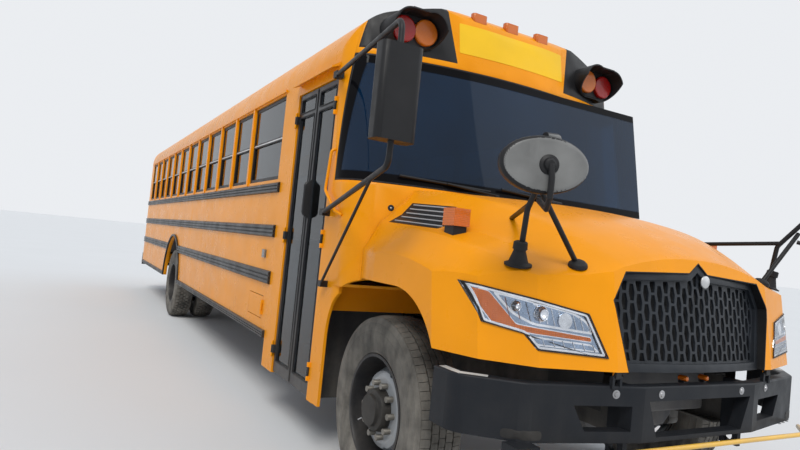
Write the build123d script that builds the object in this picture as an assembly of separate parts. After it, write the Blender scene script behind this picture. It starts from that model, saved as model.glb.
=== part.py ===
from build123d import *
import os
from math import cos, radians, sin, sqrt

# Conventional school bus. Millimetres, +Z up. The bus faces -Y, its driver's side is +X and its
# entrance door is on the -X side. Inside this file y is measured from the front axle and z from the
# ground; each piece is moved by axle_shift when it is written, so that the origin lies on the ground
# under the middle of the bus.

# Driving dimensions of the chassis
wheelbase = 7010
axle_height = 508
front_reach = 1243
rear_reach = 11100
axle_shift = (front_reach - rear_reach) / 2
clearance = 0.3

# Body shell
half_width = 1219
wall = 48
roof_top = 3130
eave_z = 2610
roof_corner_radius = 380
roof_panel_z = 2900
floor_z = 985
floor_thickness = 36
skirt_z = 560
body_rear = 11000
body_rear_radius = 170
front_arc_radius = 3200
front_base_y = 350
front_base_z = 1780
front_rake = 0.18
front_corner_radius = 230
cap_edge_radius = 260
rear_edge_radius = 160
corner_overhang = 3
windshield_bottom = 1790
windshield_top = 2650
glass_thickness = 8
pillar_front = 760
pillar_rear = 860

# Cowl below the windshield
cowl_step = 100
cowl_top = 1775
cowl_bottom = 1120
cowl_wall = 20
cowl_side_bottom = 340
hood_split_y = 530

# Entrance door on the -X side
door_front = 860
door_rear = 1650
door_bottom = 350
door_top = 2500
leaf_gap = 8
leaf_thickness = 32
leaf_recess = 12
leaf_stile = 48
leaf_top_rail_z = 2330
door_post_rear = 1910

# Side windows: one wide window, then a row of equal ones
window_bottom = 1858
window_top = 2572
sash_split_z = 2212
first_window = (1990, 2915)
window_pitch = 698.5
window_post = 66
window_row = 11
sash_width = 34
sash_depth = 30
sash_recess = 14
pane_thickness = 5
driver_window = (960, 1850)

# Rub rails: top edge and height of each row
rail_rows = ((1830, 84), (1476, 103), (1096, 109), (614, 60))
rail_depth = 22
rail_front = 1912
rail_rear = 10790

# Wheels
tyre_radius = 508
tyre_width = 279
rim_radius = 286
front_wheel_x = 1052
rear_outer_x = 1062
dual_spacing = 343
stud_circle = 142.9
stud_count = 10
kingpin_x = 925
rear_arch_radius = 715
disc_thickness = 12
mount_offset = 70
front_dish = 92
rear_dish = 110
drum_radius = 203
hand_hole_count = 5
hand_hole_circle = 222
hand_hole_radius = 26

# Chassis frame
leg_half = 30
leg_z = (660, 720)
frame_front = -940
frame_rear = body_rear - wall - 2
rail_outer_x = 432
rail_bottom = 640
rail_height = 258
rail_flange = 80
rail_web = 10

# Hood
hood_wall = 14
hood_bottom = 950
hood_gap = 10
hood_pivot_y = -1075
hood_pivot_z = 922
lug_offset = 23
lug_half = 7
hood_hinge_x = 560
hood_hinge_radius = 9
fender_x = 1200

# Front bumper
bumper_front = -1112
bumper_bottom = 640
bumper_top = 888
bumper_depth = 66
bumper_end_y = -625

pieces = {}


def save(name, shape):
    """Keeps a finished piece under the name of its file."""
    pieces[name] = shape


def slab(x0, x1, y0, y1, z0, z1):
    """A box between two corners."""
    centre = Pos((x0 + x1) / 2, (y0 + y1) / 2, (z0 + z1) / 2)
    return centre * Box(abs(x1 - x0), abs(y1 - y0), abs(z1 - z0))


def rod_x(radius, x0, x1, y, z):
    """A cylinder along X."""
    return Pos((x0 + x1) / 2, y, z) * Rot(0, 90, 0) * Cylinder(radius, abs(x1 - x0))


def rod_y(radius, x, y0, y1, z):
    """A cylinder along Y."""
    return Pos(x, (y0 + y1) / 2, z) * Rot(90, 0, 0) * Cylinder(radius, abs(y1 - y0))


def rod_z(radius, x, y, z0, z1):
    """A cylinder along Z."""
    return Pos(x, y, (z0 + z1) / 2) * Cylinder(radius, abs(z1 - z0))


def tube(points, radius, bend):
    """A round tube along straight runs joined by arcs."""
    path = FilletPolyline(*points, radius=bend)
    return sweep(Plane(path @ 0, z_dir=path % 0) * Circle(radius), path=path)


def strut(start, end, radius):
    """A straight round bar between two points."""
    line = Line(start, end)
    return sweep(Plane(line @ 0, z_dir=line % 0) * Circle(radius), path=line)


def mirrored(shape):
    """The same shape on the other side of the bus."""
    return mirror(shape, about=Plane.YZ)


def both(shape):
    """A shape and its mirror image, as a list."""
    return [shape, mirrored(shape)]


def gather(*shapes):
    """One node from shapes that do not touch."""
    solids = []
    for shape in shapes:
        for item in shape if isinstance(shape, list) else [shape]:
            solids += list(item.solids())
    return Compound(solids)


def prism_x(points, x0, x1):
    """A polygon of (y, z) points drawn out along X."""
    face = make_face(Polyline(*[(0, y, z) for y, z in points], close=True))
    return Pos(min(x0, x1), 0, 0) * extrude(face, abs(x1 - x0), dir=(1, 0, 0))


def prism_y(points, y0, y1):
    """A polygon of (x, z) points drawn out along Y."""
    face = make_face(Polyline(*[(x, 0, z) for x, z in points], close=True))
    return Pos(0, min(y0, y1), 0) * extrude(face, abs(y1 - y0), dir=(0, 1, 0))


def turned(points, y, z):
    """A profile of (x, radius) points turned about the wheel axis at (y, z)."""
    face = make_face(Polyline(*[(x, r, 0) for x, r in points], close=True))
    return Pos(0, y, z) * revolve(face, Axis.X)


# Outer form of the body


def front_form(inset, forward=0):
    """Everything behind the bowed and raked front face."""
    side = half_width - inset
    radius = front_arc_radius - inset
    drop = radius - sqrt(radius**2 - side**2)
    low_z = 0
    front = front_base_y + inset - forward + (low_z - front_base_z) * front_rake
    outline = ThreePointArc((-side, front + drop), (0, front), (side, front + drop))
    back = Polyline((side, front + drop), (side, rear_reach), (-side, rear_reach), (-side, front + drop))
    face = make_face([outline, back])
    corners = face.vertices().sort_by(Axis.Y)[:2]
    face = fillet(corners, front_corner_radius - inset)
    height = roof_top + 200
    length = height * sqrt(1 + front_rake**2)
    return extrude(face, length, dir=(0, front_rake, 1))


def rear_form(inset):
    """Everything ahead of the rear face with its round corners."""
    side = half_width - inset + corner_overhang
    rear = body_rear - inset
    face = make_face(Polyline((-side, -2000), (side, -2000), (side, rear), (-side, rear), close=True))
    corners = face.vertices().sort_by(Axis.Y)[-2:]
    face = fillet(corners, body_rear_radius - inset)
    return extrude(face, roof_top + 200, dir=(0, 0, 1))


def cross_section(inset):
    """Side walls, round eaves and crowned roof, drawn out along the bus."""
    side = half_width - inset
    corner = roof_corner_radius - inset
    top = roof_top - inset
    rise = top - eave_z
    eave_x = side - corner
    crown = (rise**2 + eave_x**2 - corner**2) / (2 * (rise - corner))
    reach = crown - corner
    join_x = eave_x * crown / reach
    join_z = (top - crown) + (eave_z - top + crown) * crown / reach
    middle_x = eave_x + side
    bisector = Vector(join_x - eave_x, join_z - eave_z).normalized() + Vector(1, 0)
    bisector = bisector.normalized() * corner
    middle_x = eave_x + bisector.X
    middle_z = eave_z + bisector.Y
    with BuildSketch(Plane.XZ) as sketch:
        with BuildLine():
            Polyline((side, eave_z), (side, 0), (-side, 0), (-side, eave_z))
            ThreePointArc((side, eave_z), (middle_x, middle_z), (join_x, join_z))
            ThreePointArc((join_x, join_z), (0, top), (-join_x, join_z))
            ThreePointArc((-side, eave_z), (-middle_x, middle_z), (-join_x, join_z))
        make_face()
    return Pos(0, -2000, 0) * extrude(sketch.sketch, -(rear_reach + 3000))


def side_profile(inset):
    """The roof line with its round front and rear edges, drawn out across the bus."""
    top = roof_top - inset
    front = front_base_y + inset + (top - front_base_z) * front_rake
    low = front - top * front_rake
    rear = body_rear - inset
    face = make_face(Polyline((0, low, 0), (0, front, top), (0, rear, top), (0, rear, 0), close=True))
    corners = face.vertices().group_by(Axis.Z)[-1].sort_by(Axis.Y)
    face = fillet(corners[0], cap_edge_radius - inset)
    corners = face.vertices().sort_by(Axis.Y)[-1:]
    corner = face.vertices().sort_by(lambda v: -(v.Y + v.Z))[0]
    face = fillet(corner, rear_edge_radius - inset)
    return Pos(-1500, 0, 0) * extrude(face, 3000, dir=(1, 0, 0))


def envelope(inset):
    """The outer form of the body, drawn in by an inset on every side."""
    return cross_section(inset) & side_profile(inset) & rear_form(inset) & front_form(inset)


outer_form = envelope(0)
inner_form = envelope(wall)
shell = outer_form - inner_form


# Openings in the walls


def window_spans():
    """Front and rear edge of each side window."""
    spans = [first_window]
    start = first_window[1] + window_post
    for index in range(window_row):
        front = start + index * window_pitch
        spans.append((front, front + window_pitch - window_post))
    return spans


def wall_window(span, side):
    """A window's hole through one side wall."""
    return slab(side * (half_width - 200), side * (half_width + 60), span[0], span[1], window_bottom, window_top)


arch_cut = rod_x(rear_arch_radius, -half_width - 60, half_width + 60, wheelbase, axle_height)
curb_spans = window_spans()
driver_spans = [driver_window] + window_spans()
rear_pillar = body_rear - 260

# Stop arm, fuel door and hinge places
fuel_door_y = (2050, 2470)
fuel_door_z = (690, 880)
hinge_radius = 8
hinge_stand = 10
hinge_length = 60
exit_door_x = 470
exit_door_z = (floor_z + 15, 2590)


def hinge_parts(x, y, heights, leaf_box, wall_box):
    """Upright hinges: barrels for the moving leaf and for the fixed wall.

    leaf_box and wall_box give the plan of the plate that joins each barrel to its own side,
    as (x0, x1, y0, y1).
    """
    leaf = []
    fixed = []
    for z in heights:
        half = hinge_length / 2
        leaf.append(rod_z(hinge_radius, x, y, z - half, z + half) + slab(*leaf_box, z - half, z + half))
        for low in (z - half - clearance - half, z + half + clearance):
            fixed.append(rod_z(hinge_radius, x, y, low, low + half) + slab(*wall_box, low, low + half))
    return leaf, fixed


# Side walls and roof

post_depth = 12
post_half = 22
gutter_z = (2588, 2604)
gutter_depth = 16


def wall_trim(spans, side):
    """Window posts, the gutter over the windows and the low sill under them, on one side wall."""
    trim = []
    face = side * half_width
    for before, after in zip(spans, spans[1:]):
        middle = (before[1] + after[0]) / 2
        trim.append(slab(face - side, face + side * post_depth, middle - post_half, middle + post_half,
                         rail_rows[0][0] + 4, gutter_z[0]))
    trim.append(slab(face - side, face + side * gutter_depth, spans[-12][0] - 20, rear_pillar, *gutter_z))
    return trim


wall_zone = slab(0, half_width + 100, pillar_rear, rear_pillar, skirt_z, roof_panel_z)
driver_front_zone = slab(0, half_width + 100, pillar_front, pillar_rear, skirt_z, roof_panel_z)
left_wall = shell & (wall_zone + driver_front_zone)
left_wall -= [wall_window(span, 1) for span in driver_spans]
left_wall -= arch_cut
left_wall += wall_trim(driver_spans, 1)
save("left_side_wall", left_wall)

door_hinge_x = -half_width - hinge_stand
door_hinge_heights = (520, 1400, 2300)
leaf_outer = half_width - leaf_recess
front_leaf_hinges, front_wall_hinges = hinge_parts(
    door_hinge_x, door_front + 2, door_hinge_heights,
    (door_hinge_x, -leaf_outer + 8, door_front + 2, door_front + 26),
    (door_hinge_x, -half_width + 8, door_front - 16, door_front))
rear_leaf_hinges, rear_wall_hinges = hinge_parts(
    door_hinge_x, door_rear - 2, door_hinge_heights,
    (door_hinge_x, -leaf_outer + 8, door_rear - 26, door_rear - 2),
    (door_hinge_x, -half_width + 8, door_rear, door_rear + 16))

curb_low = slab(-half_width - 100, 0, pillar_front, door_post_rear, door_bottom - 14, skirt_z)
curb_zone = slab(-half_width - 100, 0, pillar_front, rear_pillar, skirt_z, roof_panel_z) + curb_low
right_wall = shell & curb_zone
right_wall -= [wall_window(span, -1) for span in curb_spans]
right_wall -= arch_cut
right_wall -= slab(-half_width - 60, -half_width + 200, door_front, door_rear, 200, door_top)
fuel_cut = slab(-half_width - 60, -half_width + 100, *fuel_door_y, *fuel_door_z)
right_wall -= fuel_cut
fuel_hinge_x = -half_width - hinge_stand
fuel_leaf_hinges, fuel_wall_hinges = hinge_parts(
    fuel_hinge_x, fuel_door_y[0] + 2, (sum(fuel_door_z) / 2,),
    (fuel_hinge_x, -half_width + 6, fuel_door_y[0] + 2, fuel_door_y[0] + 24),
    (fuel_hinge_x, -half_width + 6, fuel_door_y[0] - 16, fuel_door_y[0]))
# The entrance's front post and header are pieces of their own beside the wall panel.
post_zone = slab(-half_width - 100, 0, pillar_front, door_front, 0, roof_top)
header_zone = slab(-half_width - 100, 0, door_front, door_rear, 0, roof_top)
front_post = (right_wall & post_zone) + front_wall_hinges
rain_hood = ((-half_width + 1, 2600), (-half_width - 62, 2560), (-half_width - 62, 2548), (-half_width + 1, 2574))
header = (right_wall & header_zone) + prism_y(rain_hood, door_front, door_rear)
right_wall -= post_zone + header_zone
right_wall += rear_wall_hinges
right_wall += fuel_wall_hinges
right_wall += wall_trim(curb_spans, -1)
save("right_side_wall", gather(right_wall, front_post, header))

roof_zone = slab(-half_width, half_width, pillar_rear, rear_pillar, roof_panel_z, roof_top + 50)
roof = shell & roof_zone
hatch_places = (3700, 8200)
hatch_half = 320
for y in hatch_places:
    roof -= slab(-hatch_half, hatch_half, y - hatch_half, y + hatch_half, roof_panel_z, roof_top + 50)
save("roof_shell", roof)

hatch_rise = 62
hatch_lids = []
for y in hatch_places:
    neck = slab(-hatch_half + clearance, hatch_half - clearance, y - hatch_half + clearance, y + hatch_half - clearance, roof_top - wall, roof_top + 6)
    lid = Pos(0, y, roof_top + 6 + hatch_rise / 2) * Box(2 * hatch_half + 60, 2 * hatch_half + 60, hatch_rise)
    lid = chamfer(lid.edges().group_by(Axis.Z)[-1], 24)
    hatch_lids.append(neck + lid)
save("roof_hatches", gather(hatch_lids))

# Rear wall with the emergency door's opening, two fixed windows and the door's hinges

rear_window_x = (570, 1060)
rear_window_z = (window_bottom, 2500)
rear_zone = slab(-half_width - 50, half_width + 50, rear_pillar, body_rear + 50, skirt_z, roof_top + 50)
rear_wall = shell & rear_zone
exit_cut = slab(-exit_door_x, exit_door_x, body_rear - 200, body_rear + 50, *exit_door_z)
rear_wall -= exit_cut
for side in (-1, 1):
    rear_wall -= slab(side * rear_window_x[0], side * rear_window_x[1], body_rear - 200, body_rear + 50, *rear_window_z)
exit_hinge_y = body_rear + hinge_stand
exit_heights = (1250, 1750, 2250)
exit_leaf_hinges = []
exit_wall_hinges = []
for z in exit_heights:
    half = hinge_length / 2
    barrel = rod_z(hinge_radius, -exit_door_x + 2, exit_hinge_y, z - half, z + half)
    plate = slab(-exit_door_x + 2, -exit_door_x + 30, body_rear - 20, exit_hinge_y, z - half, z + half)
    exit_leaf_hinges.append(barrel + plate)
    for low in (z - half - clearance - half, z + half + clearance):
        barrel = rod_z(hinge_radius, -exit_door_x + 2, exit_hinge_y, low, low + half)
        plate = slab(-exit_door_x - 20, -exit_door_x, body_rear - 8, exit_hinge_y, low, low + half)
        exit_wall_hinges.append(barrel + plate)
for side in (-1, 1):
    x = side * (rail_outer_x - rail_web / 2)
    rear_wall -= slab(x - leg_half - 2, x + leg_half + 2, body_rear - wall - 20, body_rear + 20, leg_z[0] - 2, leg_z[1] + 2)
rear_wall += exit_wall_hinges
save("rear_wall", rear_wall)

# Front cap above the windshield: yellow in the middle, black lamp panels round both corners

cap_zone = slab(-half_width, half_width, 0, pillar_rear, windshield_top, roof_top + 50)
cap_zone -= slab(-half_width, half_width, pillar_front, pillar_rear, windshield_top, roof_panel_z)
cap_shell = shell & cap_zone
lamp_panel_inner = (489, 576)
lamp_panel_bottom = 2690
lamp_panel_top = roof_top + 40
panel_cut = prism_y(((lamp_panel_inner[0], lamp_panel_bottom), (lamp_panel_inner[1], lamp_panel_top),
                     (1300, lamp_panel_top), (1300, lamp_panel_bottom)), 0, pillar_front - 12)
panel_skin = outer_form - envelope(12)
recess = panel_skin & panel_cut
front_cap = cap_shell - panel_cut.intersect(panel_skin) - mirrored(recess)
sign_half = 477
sign_z = (2766, 2995)
save("front_cap", front_cap)

# Warning lamps: amber inside, red outside, under one dark brow on each side

lamp_radius = 89
lamp_depth = 40
lamp_centres = ((749, 577, 2841), (917, 558, 2828))
housing_rear = 700
brow_front = 462
brow_wall = 10
brow_gap = 24


def stadium(radius):
    """The outline round both lamps of a side, drawn out along Y."""
    shape = None
    for x, y, z in lamp_centres:
        disc = rod_y(radius, x, brow_front, housing_rear + 60, z)
        shape = disc if shape is None else shape + disc
    middle_x = (lamp_centres[0][0] + lamp_centres[1][0]) / 2
    middle_z = (lamp_centres[0][2] + lamp_centres[1][2]) / 2
    half = (lamp_centres[1][0] - lamp_centres[0][0]) / 2
    return shape + slab(middle_x - half, middle_x + half, brow_front, housing_rear + 60,
                        middle_z - radius + 3, middle_z + radius - 3)


lamp_face_y = 590
outer_brow = stadium(lamp_radius + brow_gap)
inner_brow = stadium(lamp_radius + brow_gap - brow_wall)
brow = outer_brow - inner_brow
slope_cut = prism_x(((brow_front - 10, 2600), (brow_front - 10, 2870), (lamp_face_y + 30, 2700),
                     (lamp_face_y + 30, 2600)), 500, 1200)
brow -= slope_cut
backing = outer_brow & slab(500, 1219, lamp_face_y, housing_rear + 60, 2500, 3100)
housing = (brow + backing) - outer_form
lens_cuts = [rod_y(lamp_radius + clearance, x, 400, lamp_face_y + 12, z) for x, y, z in lamp_centres]
housing = housing - lens_cuts
housing = housing + (recess & slab(0, 1300, 0, 900, 2600, lamp_panel_top))
stop_base = slab(half_width, half_width + 46, 1240, 1400, 1440, 1640)
grip_x = -half_width - 28
grip_y = pillar_front + 72
assist_grip = tube(((-half_width, 785, 1997), (grip_x, 790, 1985), (grip_x, grip_y, 1724), (grip_x, 640, 1585),
                    (-half_width, 580, 1560)), 10, 25)
save("exterior_housings", gather(both(housing), stop_base, assist_grip & slab(-1400, -half_width, 400, 1000, 1400, 2100)))

lenses = []
for x, y, z in lamp_centres:
    lens = Pos(x, lamp_face_y + 12 - lamp_depth / 2, z) * Rot(90, 0, 0) * Cylinder(lamp_radius, lamp_depth)
    lens = fillet(lens.edges().group_by(Axis.Y)[0], 12)
    lenses += both(lens)
    rear_lens = rod_y(lamp_radius, x, body_rear, body_rear + lamp_depth, z - 60)
    lenses += both(fillet(rear_lens.edges().group_by(Axis.Y)[-1], 12))
id_spacing = 290
for index in (-1, 0, 1):
    lamp = slab(index * id_spacing - 62, index * id_spacing + 62, 612, 664, 3040, 3110 - 6 * abs(index))
    lamp = fillet(lamp.edges().filter_by(Axis.Z), 20)
    lenses.append(lamp - envelope(-clearance))
for x, z, radius in ((1000, 1330, 88), (1000, 1130, 60), (1000, 980, 50)):
    lenses += both(rod_y(radius, x, body_rear, body_rear + 25, z))
lenses += both(slab(half_width, half_width + 18, 2095, 2165, 1195, 1265))
save("lamps", gather(lenses))

# Windshield, wrapped round both corners

glass_zone = slab(-half_width, half_width, 0, pillar_front - 12, windshield_bottom + 12, windshield_top - 12)
save("windshield", (envelope(2) - envelope(2 + glass_thickness)) & glass_zone)
gasket_zone = slab(-half_width, half_width, 0, pillar_front, windshield_bottom, windshield_top)
gasket = ((envelope(0) - envelope(22)) & gasket_zone) - slab(-half_width, half_width, 0, pillar_front - 12,
                                                            windshield_bottom + 12, windshield_top - 12)

# Sash frames and panes of the side and rear windows


def sash(span, side):
    """Frame and two panes of one side window."""
    outer_x = half_width - sash_recess
    inner_x = outer_x - sash_depth
    frame = slab(side * inner_x, side * outer_x, *span, window_bottom, window_top)
    panes = []
    for low, high, shift in ((window_bottom, sash_split_z, 16), (sash_split_z, window_top, 6)):
        y0, y1 = span[0] + sash_width, span[1] - sash_width
        z0, z1 = low + sash_width * (1 if low == window_bottom else 0.5), high - sash_width * (1 if high == window_top else 0.5)
        frame -= slab(side * (inner_x - 5), side * (outer_x + 5), y0, y1, z0, z1)
        panes.append(slab(side * (outer_x - shift), side * (outer_x - shift - pane_thickness), y0, y1, z0, z1))
    return frame, panes


frames = []
panes = []
for span in curb_spans:
    frame, glass = sash(span, -1)
    frames.append(frame)
    panes += glass
for span in driver_spans:
    frame, glass = sash(span, 1)
    frames.append(frame)
    panes += glass
for side in (-1, 1):
    x0, x1 = side * rear_window_x[0], side * rear_window_x[1]
    frame = slab(x0, x1, body_rear - wall, body_rear - 10, *rear_window_z)
    z0, z1 = rear_window_z[0] + sash_width, rear_window_z[1] - sash_width
    x0, x1 = side * (rear_window_x[0] + sash_width), side * (rear_window_x[1] - sash_width)
    frame -= slab(x0, x1, body_rear - 100, body_rear, z0, z1)
    frames.append(frame)
    panes.append(slab(x0, x1, body_rear - 30, body_rear - 30 + pane_thickness, z0, z1))
save("window_frames", gather(frames, gasket))
save("window_glass", gather(panes))

# Cowl: the body's lower front, the ledge under the windshield and the toe board

arch_top = 1195
arch_front_radius = 465
arch_rear_radius = 420
arch_front_y = -620
arch_rear_y = 667


def front_arch(x0, x1):
    """The opening over a front wheel, drawn out along X."""
    face = make_face(Polyline((0, arch_front_y, 200), (0, arch_front_y, arch_top), (0, arch_rear_y, arch_top),
                              (0, arch_rear_y, 200), close=True))
    top = face.vertices().group_by(Axis.Z)[-1].sort_by(Axis.Y)
    face = fillet(top[0], arch_front_radius)
    top = face.vertices().sort_by(lambda v: -(v.Y + v.Z))
    face = fillet(top[0], arch_rear_radius)
    return Pos(min(x0, x1), 0, 0) * extrude(face, abs(x1 - x0), dir=(1, 0, 0))


def cowl_form(inset):
    """Outer form of the cowl, one step ahead of the windshield."""
    return front_form(inset, forward=cowl_step)


cowl_zone = slab(-half_width, half_width, -200, pillar_front, cowl_bottom, cowl_top)
cowl = (cowl_form(0) - cowl_form(cowl_wall)) & cowl_zone
ledge = (cowl_form(0) - front_form(wall)) & slab(-half_width, half_width, -200, pillar_front, cowl_top - 20, cowl_top)
sill = (front_form(0) - front_form(wall)) & slab(-half_width, half_width, -200, pillar_front, cowl_top - 20,
                                               windshield_bottom)
shelf = cowl_form(0) & slab(-half_width, half_width, -200, pillar_front, cowl_bottom, cowl_bottom + cowl_wall)
toe_board = slab(-half_width + wall, half_width - wall, arch_rear_y + 25, arch_rear_y + 45, floor_z - floor_thickness,
                 cowl_bottom + cowl_wall)
cowl_sides = (front_form(0) - front_form(cowl_wall)) & slab(-half_width, half_width, hood_split_y + 12, pillar_front,
                                                            cowl_side_bottom, cowl_bottom + 40)
cowl = cowl + ledge + sill + shelf + toe_board + cowl_sides
arch_both = front_arch(600, 1400) + front_arch(-1400, -600)
cowl -= arch_both
cowl -= slab(0, half_width + 10, 0, pillar_front + 10, 200, skirt_z)
cowl = max(cowl.solids(), key=lambda s: s.volume)
save("cowl_panel", cowl)

# Floor with wheel housings and the step well

step_inner_x = -560
step_rise = (floor_z - door_bottom) / 3
well_wall = 6
floor = slab(-half_width + wall, half_width - wall, pillar_front, body_rear - wall, floor_z - floor_thickness, floor_z)
floor += slab(-half_width + wall, half_width - wall, arch_rear_y + 45, pillar_front, floor_z - floor_thickness, floor_z)
house_inner_x = 560
houses = []
for side in (-1, 1):
    x0, x1 = side * house_inner_x, side * (half_width - wall)
    house = rod_x(rear_arch_radius, x0, x1, wheelbase, axle_height)
    hollow = rod_x(rear_arch_radius - well_wall, x0 + side * well_wall, x1 + side, wheelbase, axle_height)
    above = slab(-half_width, half_width, wheelbase - 800, wheelbase + 800, floor_z - floor_thickness, 1400)
    floor = floor - rod_x(rear_arch_radius + clearance, x0 - side * clearance, x1 + side, wheelbase, axle_height)
    houses.append(((house - hollow) & above) & inner_form)
stairs_zone = slab(-half_width + wall, step_inner_x, door_front + 5, door_rear - 5, 0, floor_z + 10)
floor -= stairs_zone
tread = (half_width - wall + step_inner_x) / 3
steps = None
for index in range(3):
    x0 = -half_width + wall + index * tread
    z = door_bottom + index * step_rise
    plate = slab(x0, x0 + tread + well_wall, door_front + 5, door_rear - 5, z - well_wall, z)
    riser = slab(x0 + tread, x0 + tread + well_wall, door_front + 5, door_rear - 5, z - well_wall, z + step_rise)
    steps = plate + riser if steps is None else steps + plate + riser
cheek_points = ((-half_width + wall, door_bottom - 8), (-half_width + wall, floor_z - floor_thickness / 2),
                (step_inner_x + well_wall, floor_z - floor_thickness / 2), (step_inner_x + well_wall, floor_z - step_rise - 8),
                (-half_width + wall + tread, door_bottom - 8))
steps += prism_y(cheek_points, door_front - 1, door_front + 5)
steps += prism_y(cheek_points, door_rear - 5, door_rear + 1)
floor = floor & inner_form
steps = (steps & inner_form) - floor
save("floor_pan", gather(floor, steps, houses))

# Rub rails and the dark lips round the rear wheel arches


def rail_profile(top, height):
    """Cross-section of a ribbed rail, as (x, z) points outside the wall."""
    face_x = half_width + rail_depth
    valley_x = face_x - 8
    bottom = top - height
    rib = height / 7
    points = [(half_width, bottom), (half_width + 8, bottom)]
    for index in range(3):
        low = bottom + rib * (0.5 + 2.2 * index)
        points += [(valley_x, low - rib * 0.25), (face_x, low + rib * 0.1), (face_x, low + rib * 1.4), (valley_x, low + rib * 1.75)]
    points += [(half_width + 8, top), (half_width, top)]
    return points


lip_width = 26
lip_depth = 24
lip = rod_x(rear_arch_radius + lip_width, half_width, half_width + lip_depth, wheelbase, axle_height)
lip -= rod_x(rear_arch_radius, half_width - 5, half_width + lip_depth + 5, wheelbase, axle_height)
lip &= slab(half_width, half_width + 60, wheelbase - 900, wheelbase + 900, skirt_z, 1400)
arch_keepout = rod_x(rear_arch_radius + lip_width + 6, half_width - 5, half_width + 60, wheelbase, axle_height)
rails = both(lip)
for top, height in rail_rows:
    for side in (-1, 1):
        rail = prism_y(rail_profile(top, height), rail_front, rail_rear)
        rail -= arch_keepout
        if side < 0:
            rail = mirrored(rail)
            rail -= slab(-half_width - 60, -half_width + 60, fuel_door_y[0] - 30, fuel_door_y[1] + 20,
                         fuel_door_z[0] - 20, fuel_door_z[1] + 20)
        rails.append(rail)
save("rub_rails", gather(rails))

# Entrance door leaves


def leaf(front, rear):
    """Frame and panes of one door leaf, as separate solids."""
    x0, x1 = -leaf_outer, -leaf_outer + leaf_thickness
    frame = slab(x0, x1, front, rear, door_bottom, door_top - 6)
    glass = []
    for low, high in ((door_bottom + 90, leaf_top_rail_z - 22), (leaf_top_rail_z + 22, door_top - 6 - 45)):
        y0, y1 = front + leaf_stile, rear - leaf_stile
        frame -= slab(x0 - 5, x1 + 5, y0, y1, low, high)
        glass.append(slab(x0 + 12, x0 + 12 + pane_thickness, y0 + clearance, y1 - clearance, low + clearance, high - clearance))
    return frame, glass


door_middle = (door_front + door_rear) / 2
front_frame, front_glass = leaf(door_front + 8, door_middle - leaf_gap / 2)
rear_frame, rear_glass = leaf(door_middle + leaf_gap / 2, door_rear - 8)
handle_y = door_middle - leaf_gap / 2 - leaf_stile / 2
handle = tube(((-leaf_outer + 4, handle_y, 1560), (-leaf_outer - 38, handle_y, 1560), (-leaf_outer - 38, handle_y, 1790),
               (-leaf_outer + 4, handle_y, 1790)), 13, 25)
front_frame += front_leaf_hinges
front_frame += handle
rear_frame += rear_leaf_hinges
save("door_leaf_front", gather(front_frame, front_glass))
save("door_leaf_rear", gather(rear_frame, rear_glass))

# Rear emergency door

exit_gap = 8
exit_door = slab(-exit_door_x + exit_gap, exit_door_x - exit_gap, body_rear - 42, body_rear - 4,
                 exit_door_z[0] + exit_gap, exit_door_z[1] - exit_gap)
exit_glass = []
for low, high in ((1230, 1720), (window_bottom, 2500)):
    exit_door -= slab(-exit_door_x + 90, exit_door_x - 90, body_rear - 100, body_rear + 10, low, high)
    exit_glass.append(slab(-exit_door_x + 90 + clearance, exit_door_x - 90 - clearance, body_rear - 26,
                           body_rear - 26 + pane_thickness, low + clearance, high - clearance))
exit_door += exit_leaf_hinges
exit_handle = tube(((exit_door_x - 50, body_rear - 10, 1000 + 60), (exit_door_x - 50, body_rear + 40, 1060),
                    (exit_door_x - 50, body_rear + 40, 1190), (exit_door_x - 50, body_rear - 10, 1190)), 9, 20)
exit_door += exit_handle
save("emergency_door", gather(exit_door, exit_glass))

# Fuel filler door

fuel_plate = slab(-half_width, -half_width + 4, fuel_door_y[0] + 5, fuel_door_y[1] - 5, fuel_door_z[0] + 5, fuel_door_z[1] - 5)
fuel_plate += fuel_leaf_hinges
save("fuel_door", fuel_plate)

# Stop arm on the driver's side

stop_hinge_y = 1320
stop_hinge_x = half_width + 46 + 12 + clearance
stop_z = (1440 + 1640) / 2
sign_size = 457
sign_radius = sign_size / 2 / cos(radians(22.5))
octagon = Rot(0, 90, 0) * extrude(Rot(0, 0, 22.5) * RegularPolygon(sign_radius, 8), 4, both=True)
stop_plate = Pos(stop_hinge_x + 18, stop_hinge_y + 120 + sign_size / 2, stop_z) * octagon
stop_arm = stop_plate
for z in (stop_z - 55, stop_z + 55):
    stop_arm += slab(stop_hinge_x - 4, stop_hinge_x + 15, stop_hinge_y - 4, stop_hinge_y + 330, z - 14, z + 14)
    stop_arm += rod_z(12, stop_hinge_x, stop_hinge_y, z - 14, z + 14)
save("stop_arm", stop_arm)

# Front bumper with its openings, tow eyes and the crossing arm's hinge unit


def bumper_outline(inset):
    """Plan outline of the bumper's outer face, drawn in by an inset."""
    centre_half = 410
    front = bumper_front + inset
    corner_x = fender_x + 15 - inset
    points = [(-corner_x, bumper_end_y), (-corner_x, -790 + inset), (-980, -990 + inset), (-centre_half, front),
              (centre_half, front), (980, -990 + inset), (corner_x, -790 + inset), (corner_x, bumper_end_y)]
    face = make_face(Polyline(*points, close=True))
    ends = [v for v in face.vertices() if abs(v.X) > 900 and v.Y < bumper_end_y - 50]
    return fillet(ends, 120)


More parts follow.
